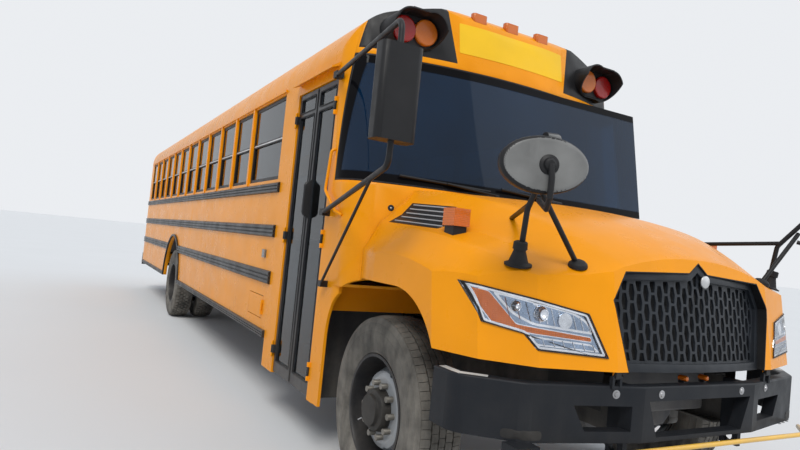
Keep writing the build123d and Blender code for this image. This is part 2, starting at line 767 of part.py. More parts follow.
bumper = Pos(0, 0, bumper_bottom) * extrude(bumper_outline(0), bumper_top - bumper_bottom)
bumper -= Pos(0, 0, bumper_bottom - 5) * extrude(bumper_outline(bumper_depth), bumper_top - bumper_bottom + 10)
bumper -= slab(-fender_x + 60, fender_x - 60, bumper_end_y - 60, bumper_end_y + 60, 500, 1000)
bumper = fillet(bumper.edges().filter_by(Plane.XY).group_by(Axis.Z)[-1], 10)
centre_hole = prism_y(((-315, 660), (-375, 822), (375, 822), (315, 660)), bumper_front - 50, bumper_front + 150)
bumper -= centre_hole
for side in (-1, 1):
    hole = prism_y(((470 * side, 690), (470 * side, 800), (760 * side, 800), (700 * side, 690)), bumper_front - 50, -850)
    bumper -= hole
brackets = []
for side in (-1, 1):
    x = side * (rail_outer_x - rail_web / 2)
    bracket = slab(x - 14, x + 14, -1046, frame_front, 668, 880)
    brackets.append(bracket)
tow_hole_radius = 26
tow_z = 590
tow_y = -985
for side in (-1, 1):
    x = side * (rail_outer_x - rail_web / 2)
    eye = slab(x - 14, x + 14, -1040, frame_front - 2, 545, 700)
    eye -= rod_x(tow_hole_radius, x - 20, x + 20, tow_y, tow_z)
    brackets.append(eye)
bumper = bumper + brackets
arm_z = 612
arm_hinge_x = -1000
arm_hinge_y = -1040
unit = slab(arm_hinge_x - 60, arm_hinge_x + 60, arm_hinge_y - 10 + clearance, arm_hinge_y + 90, 560, bumper_bottom)
for side in (-1, 1):
    for offset_x in (-lug_offset, lug_offset):
        x = side * hood_hinge_x + offset_x
        lug = slab(x - lug_half, x + lug_half, hood_pivot_y - hood_hinge_radius, hood_pivot_y + hood_hinge_radius,
                   bumper_top - 12, hood_pivot_z)
        bumper += lug + rod_x(hood_hinge_radius, x - lug_half, x + lug_half, hood_pivot_y, hood_pivot_z)
bumper = bumper + unit
save("front_bumper", bumper)

arm_radius = 12
arm_front = bumper_front - 26
arm = tube(((arm_hinge_x, arm_hinge_y - 26, arm_z), (arm_hinge_x + 30, arm_front, arm_z), (850, arm_front, arm_z),
            (1000, arm_front + 110, arm_z)), arm_radius, 14)
arm += rod_z(16, arm_hinge_x, arm_hinge_y - 26, arm_z - 20, arm_z + 20)
save("crossing_arm", arm)

rear_bumper = slab(-half_width + 10, half_width - 10, body_rear + 2, rear_reach, 500, 740)
rear_bumper = fillet(rear_bumper.edges().filter_by(Axis.Z).sort_by(Axis.Y)[-2:], 60)
rear_bumper -= slab(-half_width + 80, half_width - 80, body_rear, rear_reach - 12, 512, 728)
plate_bolt_x = 177.8
plate_bolt_z = 120.65
plate_hole_radius = 3.4
plate_z = 620
plate_x = 0
for dx in (-0.5, 0.5):
    for dz in (-0.5, 0.5):
        rear_bumper -= rod_y(plate_hole_radius, plate_x + dx * plate_bolt_x, rear_reach - 40, rear_reach + 10,
                             plate_z + dz * plate_bolt_z)
bumper_legs = []
for side in (-1, 1):
    x = side * (rail_outer_x - rail_web / 2)
    bumper_legs.append(slab(x - leg_half, x + leg_half, frame_rear, rear_reach - 12, *leg_z))
rear_bumper = rear_bumper + bumper_legs
save("rear_bumper", rear_bumper)

# Chassis frame: two channels and their cross-members

channel = ((rail_outer_x, rail_bottom), (rail_outer_x - rail_flange, rail_bottom),
           (rail_outer_x - rail_flange, rail_bottom + rail_web), (rail_outer_x - rail_web, rail_bottom + rail_web),
           (rail_outer_x - rail_web, rail_bottom + rail_height - rail_web),
           (rail_outer_x - rail_flange, rail_bottom + rail_height - rail_web),
           (rail_outer_x - rail_flange, rail_bottom + rail_height), (rail_outer_x, rail_bottom + rail_height))
rail = prism_y(channel, frame_front, frame_rear)
frame = rail + mirrored(rail)
cross_places = (900, 2600, 4300, 6100, 7900, 9400, 10900)
for y in cross_places:
    frame += slab(-rail_outer_x + rail_web, rail_outer_x - rail_web, y - 30, y + 30, rail_bottom + 60, rail_bottom + 180)
outrigger_places = (1780, 2500, 3200, 4600, 5900, 8200, 9500, 10700)
outrigger_z = rail_bottom + rail_height
for y in outrigger_places:
    frame += slab(-half_width + wall + 2, half_width - wall - 2, y - 25, y + 25, outrigger_z - 10,
                  floor_z - floor_thickness)
save("frame_rails", frame)

# Engine, radiator, fuel tank and exhaust

engine_half = 340
mount_inset = 30
engine = slab(-engine_half, engine_half, -700, 100, 560, 1400)
engine = chamfer(engine.edges().filter_by(Axis.Y), 60)
radiator = slab(-engine_half, engine_half, -880, -790, 700, 1360)
for side in (-1, 1):
    rail_mount = (side * (engine_half - 2), side * (rail_outer_x - mount_inset))
    engine += slab(*rail_mount, -330, -230, outrigger_z + clearance, outrigger_z + 30)
    radiator += slab(*rail_mount, -860, -810, outrigger_z + clearance, outrigger_z + 16)
save("engine_block", gather(engine, radiator))

tank = slab(-1120, -500, 2020, 3650, 470, 860)
tank = fillet(tank.edges().filter_by(Axis.Y), 70)
neck = rod_x(30, -1196, -1100, 2260, 785)
tank = tank + neck
for y in outrigger_places[1:3]:
    tank += slab(-1000, -600, y - 20, y + 20, 850, outrigger_z - 10 - clearance)
save("fuel_tank", tank)

pipe_x = 560
exhaust = tube(((250, 250, 600), (250, 800, 560), (pipe_x, 1300, 560), (pipe_x, 4000, 560)), 45, 120)
exhaust += rod_y(120, pipe_x, 4000, 5200, 560)
exhaust += tube(((pipe_x, 5200, 560), (505, 6250, 660), (505, 7750, 660), (pipe_x, 8500, 540),
                 (pipe_x, body_rear + 60, 430)), 45, 150)
for y, low in ((outrigger_places[2], 600), (outrigger_places[3], 670), (outrigger_places[7] - 1200, 495)):
    exhaust += slab(pipe_x - 8, pipe_x + 8, y - 20, y + 20, low, outrigger_z - 10 - clearance)
save("exhaust_pipe", exhaust)

# Wheels


def tyre_ring(x):
    """One tyre centred on x."""
    half = tyre_width / 2
    tread = half - 25
    bead = rim_radius + 3 + clearance
    points = ((x - 105, bead), (x - 107, rim_radius + 16), (x - half + 6, rim_radius + 49), (x - half, rim_radius + 100),
              (x - half + 8, tyre_radius - 60), (x - tread, tyre_radius - 12), (x - tread + 22, tyre_radius),
              (x + tread - 22, tyre_radius), (x + tread, tyre_radius - 12), (x + half - 8, tyre_radius - 60),
              (x + half, rim_radius + 100), (x + half - 6, rim_radius + 49), (x + 107, rim_radius + 16), (x + 105, bead))
    return points


def rim_ring(x):
    """Barrel and flanges of one rim centred on x."""
    half = 122
    return ((x - half, rim_radius + 12), (x - half + 10, rim_radius + 12), (x - half + 14, rim_radius + 3),
            (x + half - 14, rim_radius + 3), (x + half - 10, rim_radius + 12), (x + half, rim_radius + 12),
            (x + half, rim_radius - 4), (x + half - 30, rim_radius - 9), (x - half + 30, rim_radius - 9),
            (x - half, rim_radius - 4))


def disc(x, direction, dish):
    """Wheel disc: a flat mounting flange at x, then a deep hat that runs out to the rim."""
    shares = ((0, 118), (0, 176), (0.12, 204), (0.5, 222), (0.85, 240), (1, rim_radius - 7))
    front = [(x + direction * dish * share, radius) for share, radius in shares]
    back = [(x + direction * (dish * share + disc_thickness), radius - disc_thickness / 2)
            for share, radius in reversed(shares[1:-1])]
    rim_end = (x + direction * (dish + disc_thickness), rim_radius - 7)
    bore_end = (x + direction * disc_thickness, 118)
    return [*front, rim_end, *back, bore_end]


def hand_holes(shape, x, y):
    """Cuts the round holes of a wheel disc."""
    for index in range(hand_hole_count):
        angle = radians(360 / hand_hole_count * (index + 0.5))
        hole_y = y + hand_hole_circle * cos(angle)
        hole_z = axle_height + hand_hole_circle * sin(angle)
        shape -= rod_x(hand_hole_radius, x - 140, x + 140, hole_y, hole_z)
    return shape


def stud_ring(x0, x1, y):
    """Wheel studs with their nuts."""
    studs = []
    for index in range(stud_count):
        angle = radians(360 / stud_count * index)
        studs.append(rod_x(16, x0, x1, y + stud_circle * cos(angle), axle_height + stud_circle * sin(angle)))
    return studs


bearing_radius = 55
rear_bearing_radius = 62
tie_y = 220
tie_z = axle_height - 76 + clearance
tie_inset = 85
fork_inner = 135
fork_outer = 100
fork_half = 27
fork_high = 140
knuckle_half = 105
beam_half = 45
beam_neck = 200
for side, name in ((1, "left"), (-1, "right")):
    tyre = turned(tyre_ring(front_wheel_x), 0, axle_height)
    save("front_tyre_" + name, tyre if side > 0 else mirrored(tyre))
    mount_x = front_wheel_x + mount_offset
    wheel = turned(rim_ring(front_wheel_x), 0, axle_height)
    wheel += hand_holes(turned(disc(mount_x, -1, front_dish), 0, axle_height), mount_x, 0)
    wheel += stud_ring(mount_x - 2, mount_x + 40, 0)
    back_x = mount_x - disc_thickness - clearance
    hub = ((mount_x - 112, 186), (mount_x - 112, drum_radius), (mount_x - 36, drum_radius), (mount_x - 26, 168),
           (back_x, 168), (back_x, 118 - clearance), (mount_x + 12, 117), (mount_x + 50, 108), (mount_x + 58, 86),
           (mount_x + 78, 82), (mount_x + 78, 0), (mount_x + 60, 0), (mount_x + 60, bearing_radius),
           (mount_x - 42, bearing_radius), (mount_x - 42, 186))
    wheel = gather(wheel, turned(hub, 0, axle_height))
    save("front_wheel_" + name, wheel if side > 0 else mirrored(wheel))

    spindle = rod_x(34, kingpin_x, mount_x + 50, 0, axle_height)
    spindle += rod_x(bearing_radius - clearance, mount_x - 40, mount_x + 50, 0, axle_height)
    body = slab(kingpin_x - 45, kingpin_x + 45, -55, 55, axle_height - 62, axle_height + 62)
    body = spindle + fillet(body.edges().filter_by(Axis.Z), 14)
    for low, high in ((-105, -62), (62, 105)):
        body += rod_z(38, kingpin_x, 0, axle_height + low, axle_height + high)
    arm = slab(kingpin_x - 8, kingpin_x + 32, 42, 90, tie_z - clearance - 24, axle_height - 20)
    arm_plan = make_face(Polyline((kingpin_x + 32, 50), (kingpin_x + 32, 90), (kingpin_x - 60, tie_y + 10),
                                  (kingpin_x - tie_inset - 21, tie_y), (kingpin_x - 8, 50), close=True))
    arm += Pos(0, 0, tie_z - clearance - 24) * extrude(arm_plan, 24)
    arm += rod_z(22, kingpin_x - tie_inset, tie_y, tie_z - clearance - 24, tie_z - clearance)
    body = body + arm
    save("steering_knuckle_" + name, body if side > 0 else mirrored(body))

    tyres = [turned(tyre_ring(x), wheelbase, axle_height) for x in (rear_outer_x, rear_outer_x - dual_spacing)]
    tyres = gather(tyres)
    save("rear_tyres_" + name, tyres if side > 0 else mirrored(tyres))
    plane_x = rear_outer_x - dual_spacing / 2
    outer_wheel = turned(rim_ring(rear_outer_x), wheelbase, axle_height)
    outer_wheel += hand_holes(turned(disc(plane_x, 1, rear_dish), wheelbase, axle_height), plane_x, wheelbase)
    outer_wheel += stud_ring(plane_x + disc_thickness - 2, plane_x + disc_thickness + 46, wheelbase)
    inner_wheel = turned(rim_ring(rear_outer_x - dual_spacing), wheelbase, axle_height)
    inner_x = plane_x - clearance
    inner_wheel += hand_holes(turned(disc(inner_x, -1, rear_dish), wheelbase, axle_height), inner_x, wheelbase)
    back_x = inner_x - disc_thickness - clearance
    hub = ((plane_x - 180, 100), (plane_x - 180, 172), (plane_x - 30, 172), (back_x, 160),
           (back_x, 118 - clearance), (plane_x + 90, 112),
           (plane_x + 94, 80), (plane_x + 150, 76), (plane_x + 150, 0), (plane_x + 120, 0),
           (plane_x + 120, rear_bearing_radius), (plane_x - 170, rear_bearing_radius), (plane_x - 170, 100))
    wheels = gather(outer_wheel, inner_wheel, turned(hub, wheelbase, axle_height))
    save("rear_wheels_" + name, wheels if side > 0 else mirrored(wheels))

# Axles with their leaf springs

beam_z = axle_height - 70
neck_x = kingpin_x - beam_neck
end_x = kingpin_x - fork_outer
front_axle = slab(-neck_x, neck_x, -beam_half, beam_half, beam_z - 50, beam_z + 40)
front_axle += slab(-end_x, end_x, -fork_half, fork_half, beam_z - 50, beam_z + 40)
fork_low = knuckle_half + clearance
for side in (-1, 1):
    x = side * kingpin_x
    start = x - side * fork_inner
    front_axle += slab(start, x + side * 30, -fork_half, fork_half, axle_height + fork_low, axle_height + fork_high)
    front_axle += slab(start, x + side * 30, -fork_half, fork_half, axle_height - fork_high, axle_height - fork_low)
    front_axle += slab(start, x - side * fork_outer, -fork_half, fork_half, axle_height - fork_high,
                       axle_height + fork_high)


def spring_pack(y, span, z_low, z_end, thickness, x):
    """A leaf spring as one curved bar whose eyes meet the frame's underside."""
    half = span / 2
    arc = ThreePointArc((x, y - half, z_end), (x, y, z_low), (x, y + half, z_end))
    section = Plane(arc @ 0, x_dir=(1, 0, 0), z_dir=arc % 0) * Rectangle(76, thickness)
    bar = sweep(section, path=arc)
    for end in (y - half, y + half):
        bar += rod_x(32, x - 38, x + 38, end, z_end)
        bar += slab(x - 38, x + 38, end - 30, end + 30, z_end, rail_bottom)
    return bar


spring_x = rail_outer_x - rail_flange / 2
for side in (-1, 1):
    front_axle += spring_pack(0, 1300, beam_z + 60, rail_bottom - 60, 50, side * spring_x)
save("front_axle", front_axle)

axle_end = rear_outer_x - dual_spacing / 2 + 60
rear_axle = rod_x(rear_bearing_radius - clearance, -axle_end, axle_end, wheelbase, axle_height)
rear_axle += Pos(0, wheelbase, axle_height) * Sphere(190)
rear_axle += rod_y(70, 0, wheelbase - 330, wheelbase, axle_height)
rear_axle += strut((0, wheelbase - 320, axle_height), (0, 200, 640), 50)
for side in (-1, 1):
    rear_axle += spring_pack(wheelbase, 1500, axle_height + 80, rail_bottom - 40, 60, side * spring_x)
    rear_axle += slab(side * spring_x - 45, side * spring_x + 45, wheelbase - 70, wheelbase + 70, axle_height, axle_height + 70)
save("rear_axle", rear_axle)

# Tie rod between the steering arms

tie_x = kingpin_x - tie_inset
tie = rod_x(12, -tie_x, tie_x, tie_y, tie_z + 15)
for side in (-1, 1):
    tie += rod_z(20, side * tie_x, tie_y, tie_z, tie_z + 30)
save("tie_rod", tie)

# Seats

seat_width = 990
seat_first = 2700
seat_pitch = 705
seat_rows = 11
seats = []
for index in range(seat_rows):
    y = seat_first + index * seat_pitch
    for side in (-1, 1):
        x0, x1 = side * (half_width - wall - 12), side * (half_width - wall - 12 - seat_width)
        cushion = slab(x0, x1, y, y + 390, floor_z + 300, floor_z + 430)
        back = prism_x(((y + 350, floor_z + 400), (y + 430, floor_z + 400), (y + 500, floor_z + 1010),
                        (y + 440, floor_z + 1010)), x0, x1)
        leg_x = x1 + side * 60
        leg = slab(leg_x - 20, leg_x + 20, y + 60, y + 360, floor_z, floor_z + 310)
        seats.append(cushion + back + leg)
seats.append(slab(300, 800, 1650, 2120, floor_z + 330, floor_z + 460) + slab(300, 800, 2080, 2190, floor_z + 430, 2020)
             + slab(420, 680, 1750, 2020, floor_z, floor_z + 340))
save("seats", gather(seats))

# Dashboard, steering column and wheel

dash = slab(-1100, 1100, 760, 900, 1250, 1640) & inner_form
dash = chamfer(dash.edges().filter_by(Axis.X).group_by(Axis.Z)[-1].sort_by(Axis.Y)[-1:], 60)
column = strut((550, 860, 1500), (550, 1260, 1720), 32)
column_axis = Vector(0, 400, 220).normalized()
ring_plane = Plane((550, 1260, 1720), x_dir=(1, 0, 0), z_dir=column_axis)
wheel_ring = ring_plane * Torus(220, 16)
spokes = ring_plane * Box(430, 36, 14) + ring_plane * Box(36, 430, 14)
dash = dash + column + wheel_ring + spokes
dash_leg = slab(-900, 1100, 762, 800, floor_z, 1260)
dash = dash + dash_leg
save("dashboard", dash)

# Hood

hood_sections = (
    # y, crown z, plateau x, plateau z, slope x, slope z, fender x, fender z, side x, side z
    (560, 1775, 880, 1765, 985, 1690, 1030, 1560, 1050, 1400),
    (100, 1765, 810, 1745, 970, 1568, 1085, 1518, 1200, 1350),
    (-500, 1690, 690, 1640, 885, 1502, 1060, 1455, 1200, 1300),
    (-1000, 1490, 520, 1420, 700, 1352, 940, 1296, 1190, 1120),
    (-1250, 1340, 470, 1270, 640, 1230, 880, 1180, 1150, 1040),
)


def hood_section(row, inset):
    """One upright section of the hood, as a closed outline."""
    y, crown_z, x1, z1, x2, z2, x3, z3, x4, z4 = row
    half = [(x1, z1 - inset), (x2 - inset, z2 - inset), (x3 - inset, z3 - inset), (x4 - inset, z4), (x4 - inset, 900)]
    left = [(-x, z) for x, z in reversed(half)]
    right = [(x, y, z) for x, z in half]
    left = [(x, y, z) for x, z in left]
    top = ThreePointArc(left[-1], (0, y, crown_z - inset), right[0])
    rest = Polyline(*right, *left)
    return make_face([top, rest])


def hood_plan(inset):
    """Plan outline of the hood's nose, drawn up with the rake of the grille."""
    points = [(-fender_x + inset, 800), (-fender_x + inset, -560), (-1110 + inset, -800 + inset), (-925, -985 + inset),
              (-575, -1095 + inset), (0, -1112 + inset), (575, -1095 + inset), (925, -985 + inset),
              (1110 - inset, -800 + inset), (fender_x - inset, -560), (fender_x - inset, 800)]
    face = make_face(Polyline(*points, close=True))
    return Pos(0, 0, 0) * extrude(face, 2000 * sqrt(1 + 0.16**2), dir=(0, 0.16, 1))


def hood_form(inset):
    """Outer form of the hood, drawn in by an inset."""
    body = loft([hood_section(row, inset) for row in hood_sections])
    nose = Pos(0, -hood_bottom * 0.16, 0) * hood_plan(inset)
    return body & nose


hood = hood_form(0) - hood_form(hood_wall)
hood &= slab(-1300, 1300, -1400, 600, hood_bottom, 1900)
keep_off = front_form(-hood_gap, forward=cowl_step)
hood -= keep_off & slab(-2000, 2000, -300, 2000, cowl_bottom - 20, 3000)
hood -= slab(-1300, 1300, hood_split_y, 800, 900, 1900)
hood -= arch_both
hood -= slab(-1300, 1300, 0, 800, 900, cowl_bottom - 20 - 0.1)
grille_outline = ((-510, 944), (-583, 1258), (-501, 1389), (-70, 1410), (0, 1463), (70, 1410), (501, 1389), (583, 1258), (510, 944))
hood -= prism_y([(x, z) for x, z in grille_outline], -1300, -850)
vent_count = 5
vent_pitch = 26
for index in range(vent_count):
    slot = slab(650, 1300, -230 + 24 * index, 250, -6, 6)
    slot = Pos(0, 0, 1538 + index * vent_pitch) * Rot(3, 0, 0) * slot
    hood = hood - slot - mirrored(slot)
hood = max(hood.solids(), key=lambda s: s.volume)
barrel_half = lug_offset - lug_half - clearance
for side in (-1, 1):
    x = side * hood_hinge_x
    ends = (x - barrel_half, x + barrel_half)
    hood += slab(*ends, hood_pivot_y - 14, hood_pivot_y + 8, hood_pivot_z, hood_bottom + 20) & hood_form(0)
    hood += rod_x(hood_hinge_radius, *ends, hood_pivot_y, hood_pivot_z)
    hood += slab(*ends, hood_pivot_y - 8, hood_pivot_y + 8, hood_pivot_z, hood_bottom + 10)
save("hood", hood)

# Grille: a bowed dark panel with a raised frame and staggered upright slots

grille_gap = clearance
grille_border = 38
slot_columns = 13
slot_pitch_x = 42
slot_pitch_z = 88
slot_ends = 10
slot_waist = 17
slot_half_height = 38
slot_least_area = 500


def offset_outline(points, amount):
    """A polygon of (x, z) points drawn in by an amount."""
    face = make_face(Polyline(*[(x, z, 0) for x, z in points], close=True))
    inner = offset(face, -amount, kind=Kind.INTERSECTION)
    return inner


def band(front, depth):
    """A raked and bowed slab for the grille, between two depths behind its front."""
    reach = 700
    radius = 2900
    bow = radius - sqrt(radius**2 - reach**2)
    outline = ThreePointArc((-reach, front + bow), (0, front), (reach, front + bow))
    back = ThreePointArc((-reach, front + bow + depth), (0, front + depth), (reach, front + bow + depth))
    face = make_face([outline, back, Line(outline @ 0, back @ 0), Line(outline @ 1, back @ 1)])
    solid = extrude(face, 700 * sqrt(1 + 0.16**2), dir=(0, 0.16, 1))
    return Pos(0, 0, 900) * solid


def upright(face, y0, y1):
    """A flat outline drawn in (x, z), stood up and drawn out along Y."""
    return Pos(0, y1, 0) * Rot(90, 0, 0) * extrude(face, y1 - y0)


grille_front = -1112
frame_prism = upright(offset_outline(grille_outline, grille_gap), -1300, -800)
field_prism = upright(offset_outline(grille_outline, grille_border), -1300, -800)
grille_frame = (band(grille_front, 50) & frame_prism) - field_prism
field = band(grille_front + 18, 10) & field_prism
slot_shape = ((-slot_ends, -slot_half_height), (slot_ends, -slot_half_height), (slot_waist, 0),
              (slot_ends, slot_half_height), (-slot_ends, slot_half_height), (-slot_waist, 0))
slot_area = offset_outline(grille_outline, grille_border + 8)
slots = []
for column in range(-slot_columns, slot_columns + 1):
    for row in range(6):
        x = column * slot_pitch_x
        z = grille_outline[0][1] + (row + (0.5 if column % 2 else 0)) * slot_pitch_z
        slot = make_face(Polyline(*[(x + dx, z + dz, 0) for dx, dz in slot_shape], close=True)) & slot_area
        slots += [upright(face, -1300, -850) for face in slot.faces() if face.area > slot_least_area]
field = field - slots
grille = grille_frame + field
save("grille", max(grille.solids(), key=lambda s: s.volume))

# Lamps on the hood

headlight_outline = ((-1149, 1278), (-700, 1190), (-617, 1005), (-930, 1020), (-970, 1080), (-1100, 1110))
lens_form = hood_form(-6) - hood_form(hood_wall + 20)
headlight = lens_form & prism_y(headlight_outline, -1300, -300)
headlight_cut = prism_y(headlight_outline, -1300, -300)
turn_base = slab(-1040, -960, -412, -332, 1400, 1530) - hood_form(-clearance)
turn_lens = slab(-1048, -952, -424, -320, 1530 + clearance, 1620) - hood_form(-clearance)
save("hood_lamps", gather(both(headlight), both(turn_base + turn_lens)))
pieces["hood"] = hood - headlight_cut - mirrored(headlight_cut)

# Mirrors

mirror_z = (1870, 2310)
mirror_half_width = 105
mirror_half_depth = 50
mirror_centres = ((-1, -1475, -490), (1, 1475, 1000))
arm_foot_y = pillar_front + 45
rear_mirrors = []
for side, x, y in mirror_centres:
    rear_mirror = slab(x - mirror_half_width, x + mirror_half_width, y - mirror_half_depth, y + mirror_half_depth,
                       *mirror_z)
    rear_mirror = fillet(rear_mirror.edges().filter_by(Axis.Z), 30)
    foot_x = side * (half_width + 36)
    for start_z, bend_z, foot_z in ((mirror_z[1] - 10, mirror_z[1] + 130, 2490), (mirror_z[0] + 10, 1760, 1575)):
        rear_mirror += tube(((x, y, start_z), (x, y + 5, bend_z), (foot_x, arm_foot_y, foot_z)), 15, 60)
        rear_mirror += slab(foot_x + side * 18, side * half_width, arm_foot_y - 28, arm_foot_y + 28,
                            foot_z - 22, foot_z + 22)
    if side < 0:
        brace_y = pillar_front - 46
        rear_mirror += strut((x + 38, y + 240, 1731), (foot_x + side * 4, brace_y, 1115), 9)
        rear_mirror += slab(foot_x + side * 14, side * half_width, brace_y - 20, brace_y + 20, 1095, 1135)
    rear_mirrors.append(rear_mirror)
save("rearview_mirrors", gather(rear_mirrors))

disc_x, disc_z = -1150, 1764
oval = Rot(0, 0, -24) * Rot(90, 0, 0) * extrude(Ellipse(175, 112), 32, both=True)
oval = fillet(oval.edges(), 20)
disc_y = -front_reach - oval.bounding_box().min.Y
oval = Pos(disc_x, disc_y, disc_z) * oval
cross_mirror = oval + tube(((-950, -820, 1340), (-960, -860, 1620), (-1020, -1090, 1900), (disc_x, disc_y, 1880)), 13, 50)
cross_mirror += strut((-700, -930, 1390), (-985, -960, 1700), 12)
cross_mirror += strut((-750, -500, 1600), (-965, -880, 1640), 12)
cross_mirror -= hood_form(0)
save("crossview_mirrors", gather(both(cross_mirror)))

# Wipers



def glass_y(x, z):
    """Place of the windshield's face at a height and a distance from the middle."""
    bow = front_arc_radius - sqrt(front_arc_radius**2 - x**2)
    return front_base_y + (z - front_base_z) * front_rake + bow


wipers = []
blade_stand = 30
for pivot_x, tip_x in ((-230, -900), (420, -180)):
    low = (pivot_x - 40 if tip_x < pivot_x else pivot_x + 40, 1812)
    blade_start = (low[0], glass_y(low[0], 1822) - blade_stand, 1822)
    blade_end = (tip_x, glass_y(tip_x, 1850) - blade_stand, 1850)
    pivot_y = glass_y(pivot_x, cowl_top) - 40
    wiper = rod_z(16, pivot_x, pivot_y, cowl_top, 1806)
    middle_x = (low[0] + tip_x) / 2
    arm_end = (middle_x, glass_y(middle_x, 1836) - blade_stand, 1836)
    wiper += strut((pivot_x, pivot_y, 1800), arm_end, 8)
    wiper += strut(blade_start, blade_end, 9)
    wipers.append(wiper)
save("wipers", gather(wipers))

os.makedirs("parts", exist_ok=True)
for name, shape in pieces.items():
    export_step(Pos(0, axle_shift, 0) * shape, "parts/" + name + ".step")
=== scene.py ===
from math import cos, pi, radians, sin

import bmesh
import bpy
from mathutils import Matrix, Vector
from mathutils.bvhtree import BVHTree
from mathutils.geometry import delaunay_2d_cdt


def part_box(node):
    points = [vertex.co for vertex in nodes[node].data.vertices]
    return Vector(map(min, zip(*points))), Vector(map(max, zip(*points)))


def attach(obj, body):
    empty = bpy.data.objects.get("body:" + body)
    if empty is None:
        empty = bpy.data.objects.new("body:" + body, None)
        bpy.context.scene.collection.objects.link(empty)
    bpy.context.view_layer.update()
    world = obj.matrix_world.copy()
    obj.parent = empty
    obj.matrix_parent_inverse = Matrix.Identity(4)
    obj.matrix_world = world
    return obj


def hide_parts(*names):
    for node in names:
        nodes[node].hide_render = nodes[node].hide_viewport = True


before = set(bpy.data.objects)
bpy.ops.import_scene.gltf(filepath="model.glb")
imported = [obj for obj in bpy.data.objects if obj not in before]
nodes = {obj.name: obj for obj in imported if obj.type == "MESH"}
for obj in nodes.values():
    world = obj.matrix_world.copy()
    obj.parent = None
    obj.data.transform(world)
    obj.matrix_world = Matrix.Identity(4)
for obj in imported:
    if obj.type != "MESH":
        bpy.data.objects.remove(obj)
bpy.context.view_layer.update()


def middle(node):
    """Centre of a CAD node's box."""
    low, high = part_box(node)
    return (low + high) / 2


# Places are given from the front axle: x to the driver's side, y backwards, z up from the ground, in metres.
axle_y = middle("front_tyre_left").y
axle_z = middle("front_tyre_left").z
rear_axle_y = middle("rear_tyres_left").y - axle_y
half_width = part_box("left_side_wall")[1].x
sides = ((1, "left"), (-1, "right"))

# Directions in which lines are cast at the solids
to_back = Vector((0, 1, 0))
to_front = Vector((0, -1, 0))
to_left = Vector((1, 0, 0))
down = Vector((0, 0, -1))


def at(x, y, z):
    """A point given from the front axle, in the row frame."""
    return Vector((x, y + axle_y, z))


def solids(node):
    """The separate solids of a CAD node: the faces of each, and its box."""
    mesh = nodes[node].data
    places = {}
    keys = [places.setdefault(tuple(round(c * 1e5) for c in vert.co), len(places)) for vert in mesh.vertices]
    parent = list(range(len(places)))

    def root(key):
        while parent[key] != key:
            parent[key] = parent[parent[key]]
            key = parent[key]
        return key

    for polygon in mesh.polygons:
        first = root(keys[polygon.vertices[0]])
        for other in polygon.vertices[1:]:
            parent[root(keys[other])] = first
    groups = {}
    for polygon in mesh.polygons:
        groups.setdefault(root(keys[polygon.vertices[0]]), []).append(polygon.index)
    found = []
    for faces in groups.values():
        points = [mesh.vertices[v].co for face in faces for v in mesh.polygons[face].vertices]
        low, high = (Vector([pick(point[i] for point in points) for i in range(3)]) for pick in (min, max))
        found.append((faces, low, high))
    return found


skins = {}


def touch(node, start, towards):
    """Where a line from a point meets a CAD node, and which way that face looks."""
    if node not in skins:
        mesh = nodes[node].data
        skins[node] = BVHTree.FromPolygons([v.co.copy() for v in mesh.vertices],
                                           [tuple(face.vertices) for face in mesh.polygons])
    place, normal, _, _ = skins[node].ray_cast(Vector(start), Vector(towards))
    if place is None:
        place, normal, _, _ = skins[node].find_nearest(Vector(start))
    if normal.dot(Vector(towards)) > 0:
        normal = -normal
    return place, normal


def laid(node, start, towards, lift):
    """A point that stands off a CAD node by the lift, where a line from the start meets it."""
    return touch(node, start, towards)[0] - towards * lift


def stand_off(u, v, towards, start):
    """A point away from a surface, from the two coordinates across a direction."""
    spot = [u, v]
    spot.insert(max(range(3), key=lambda i: abs(towards[i])), 0.0)
    return at(*spot) - towards * start


# Materials


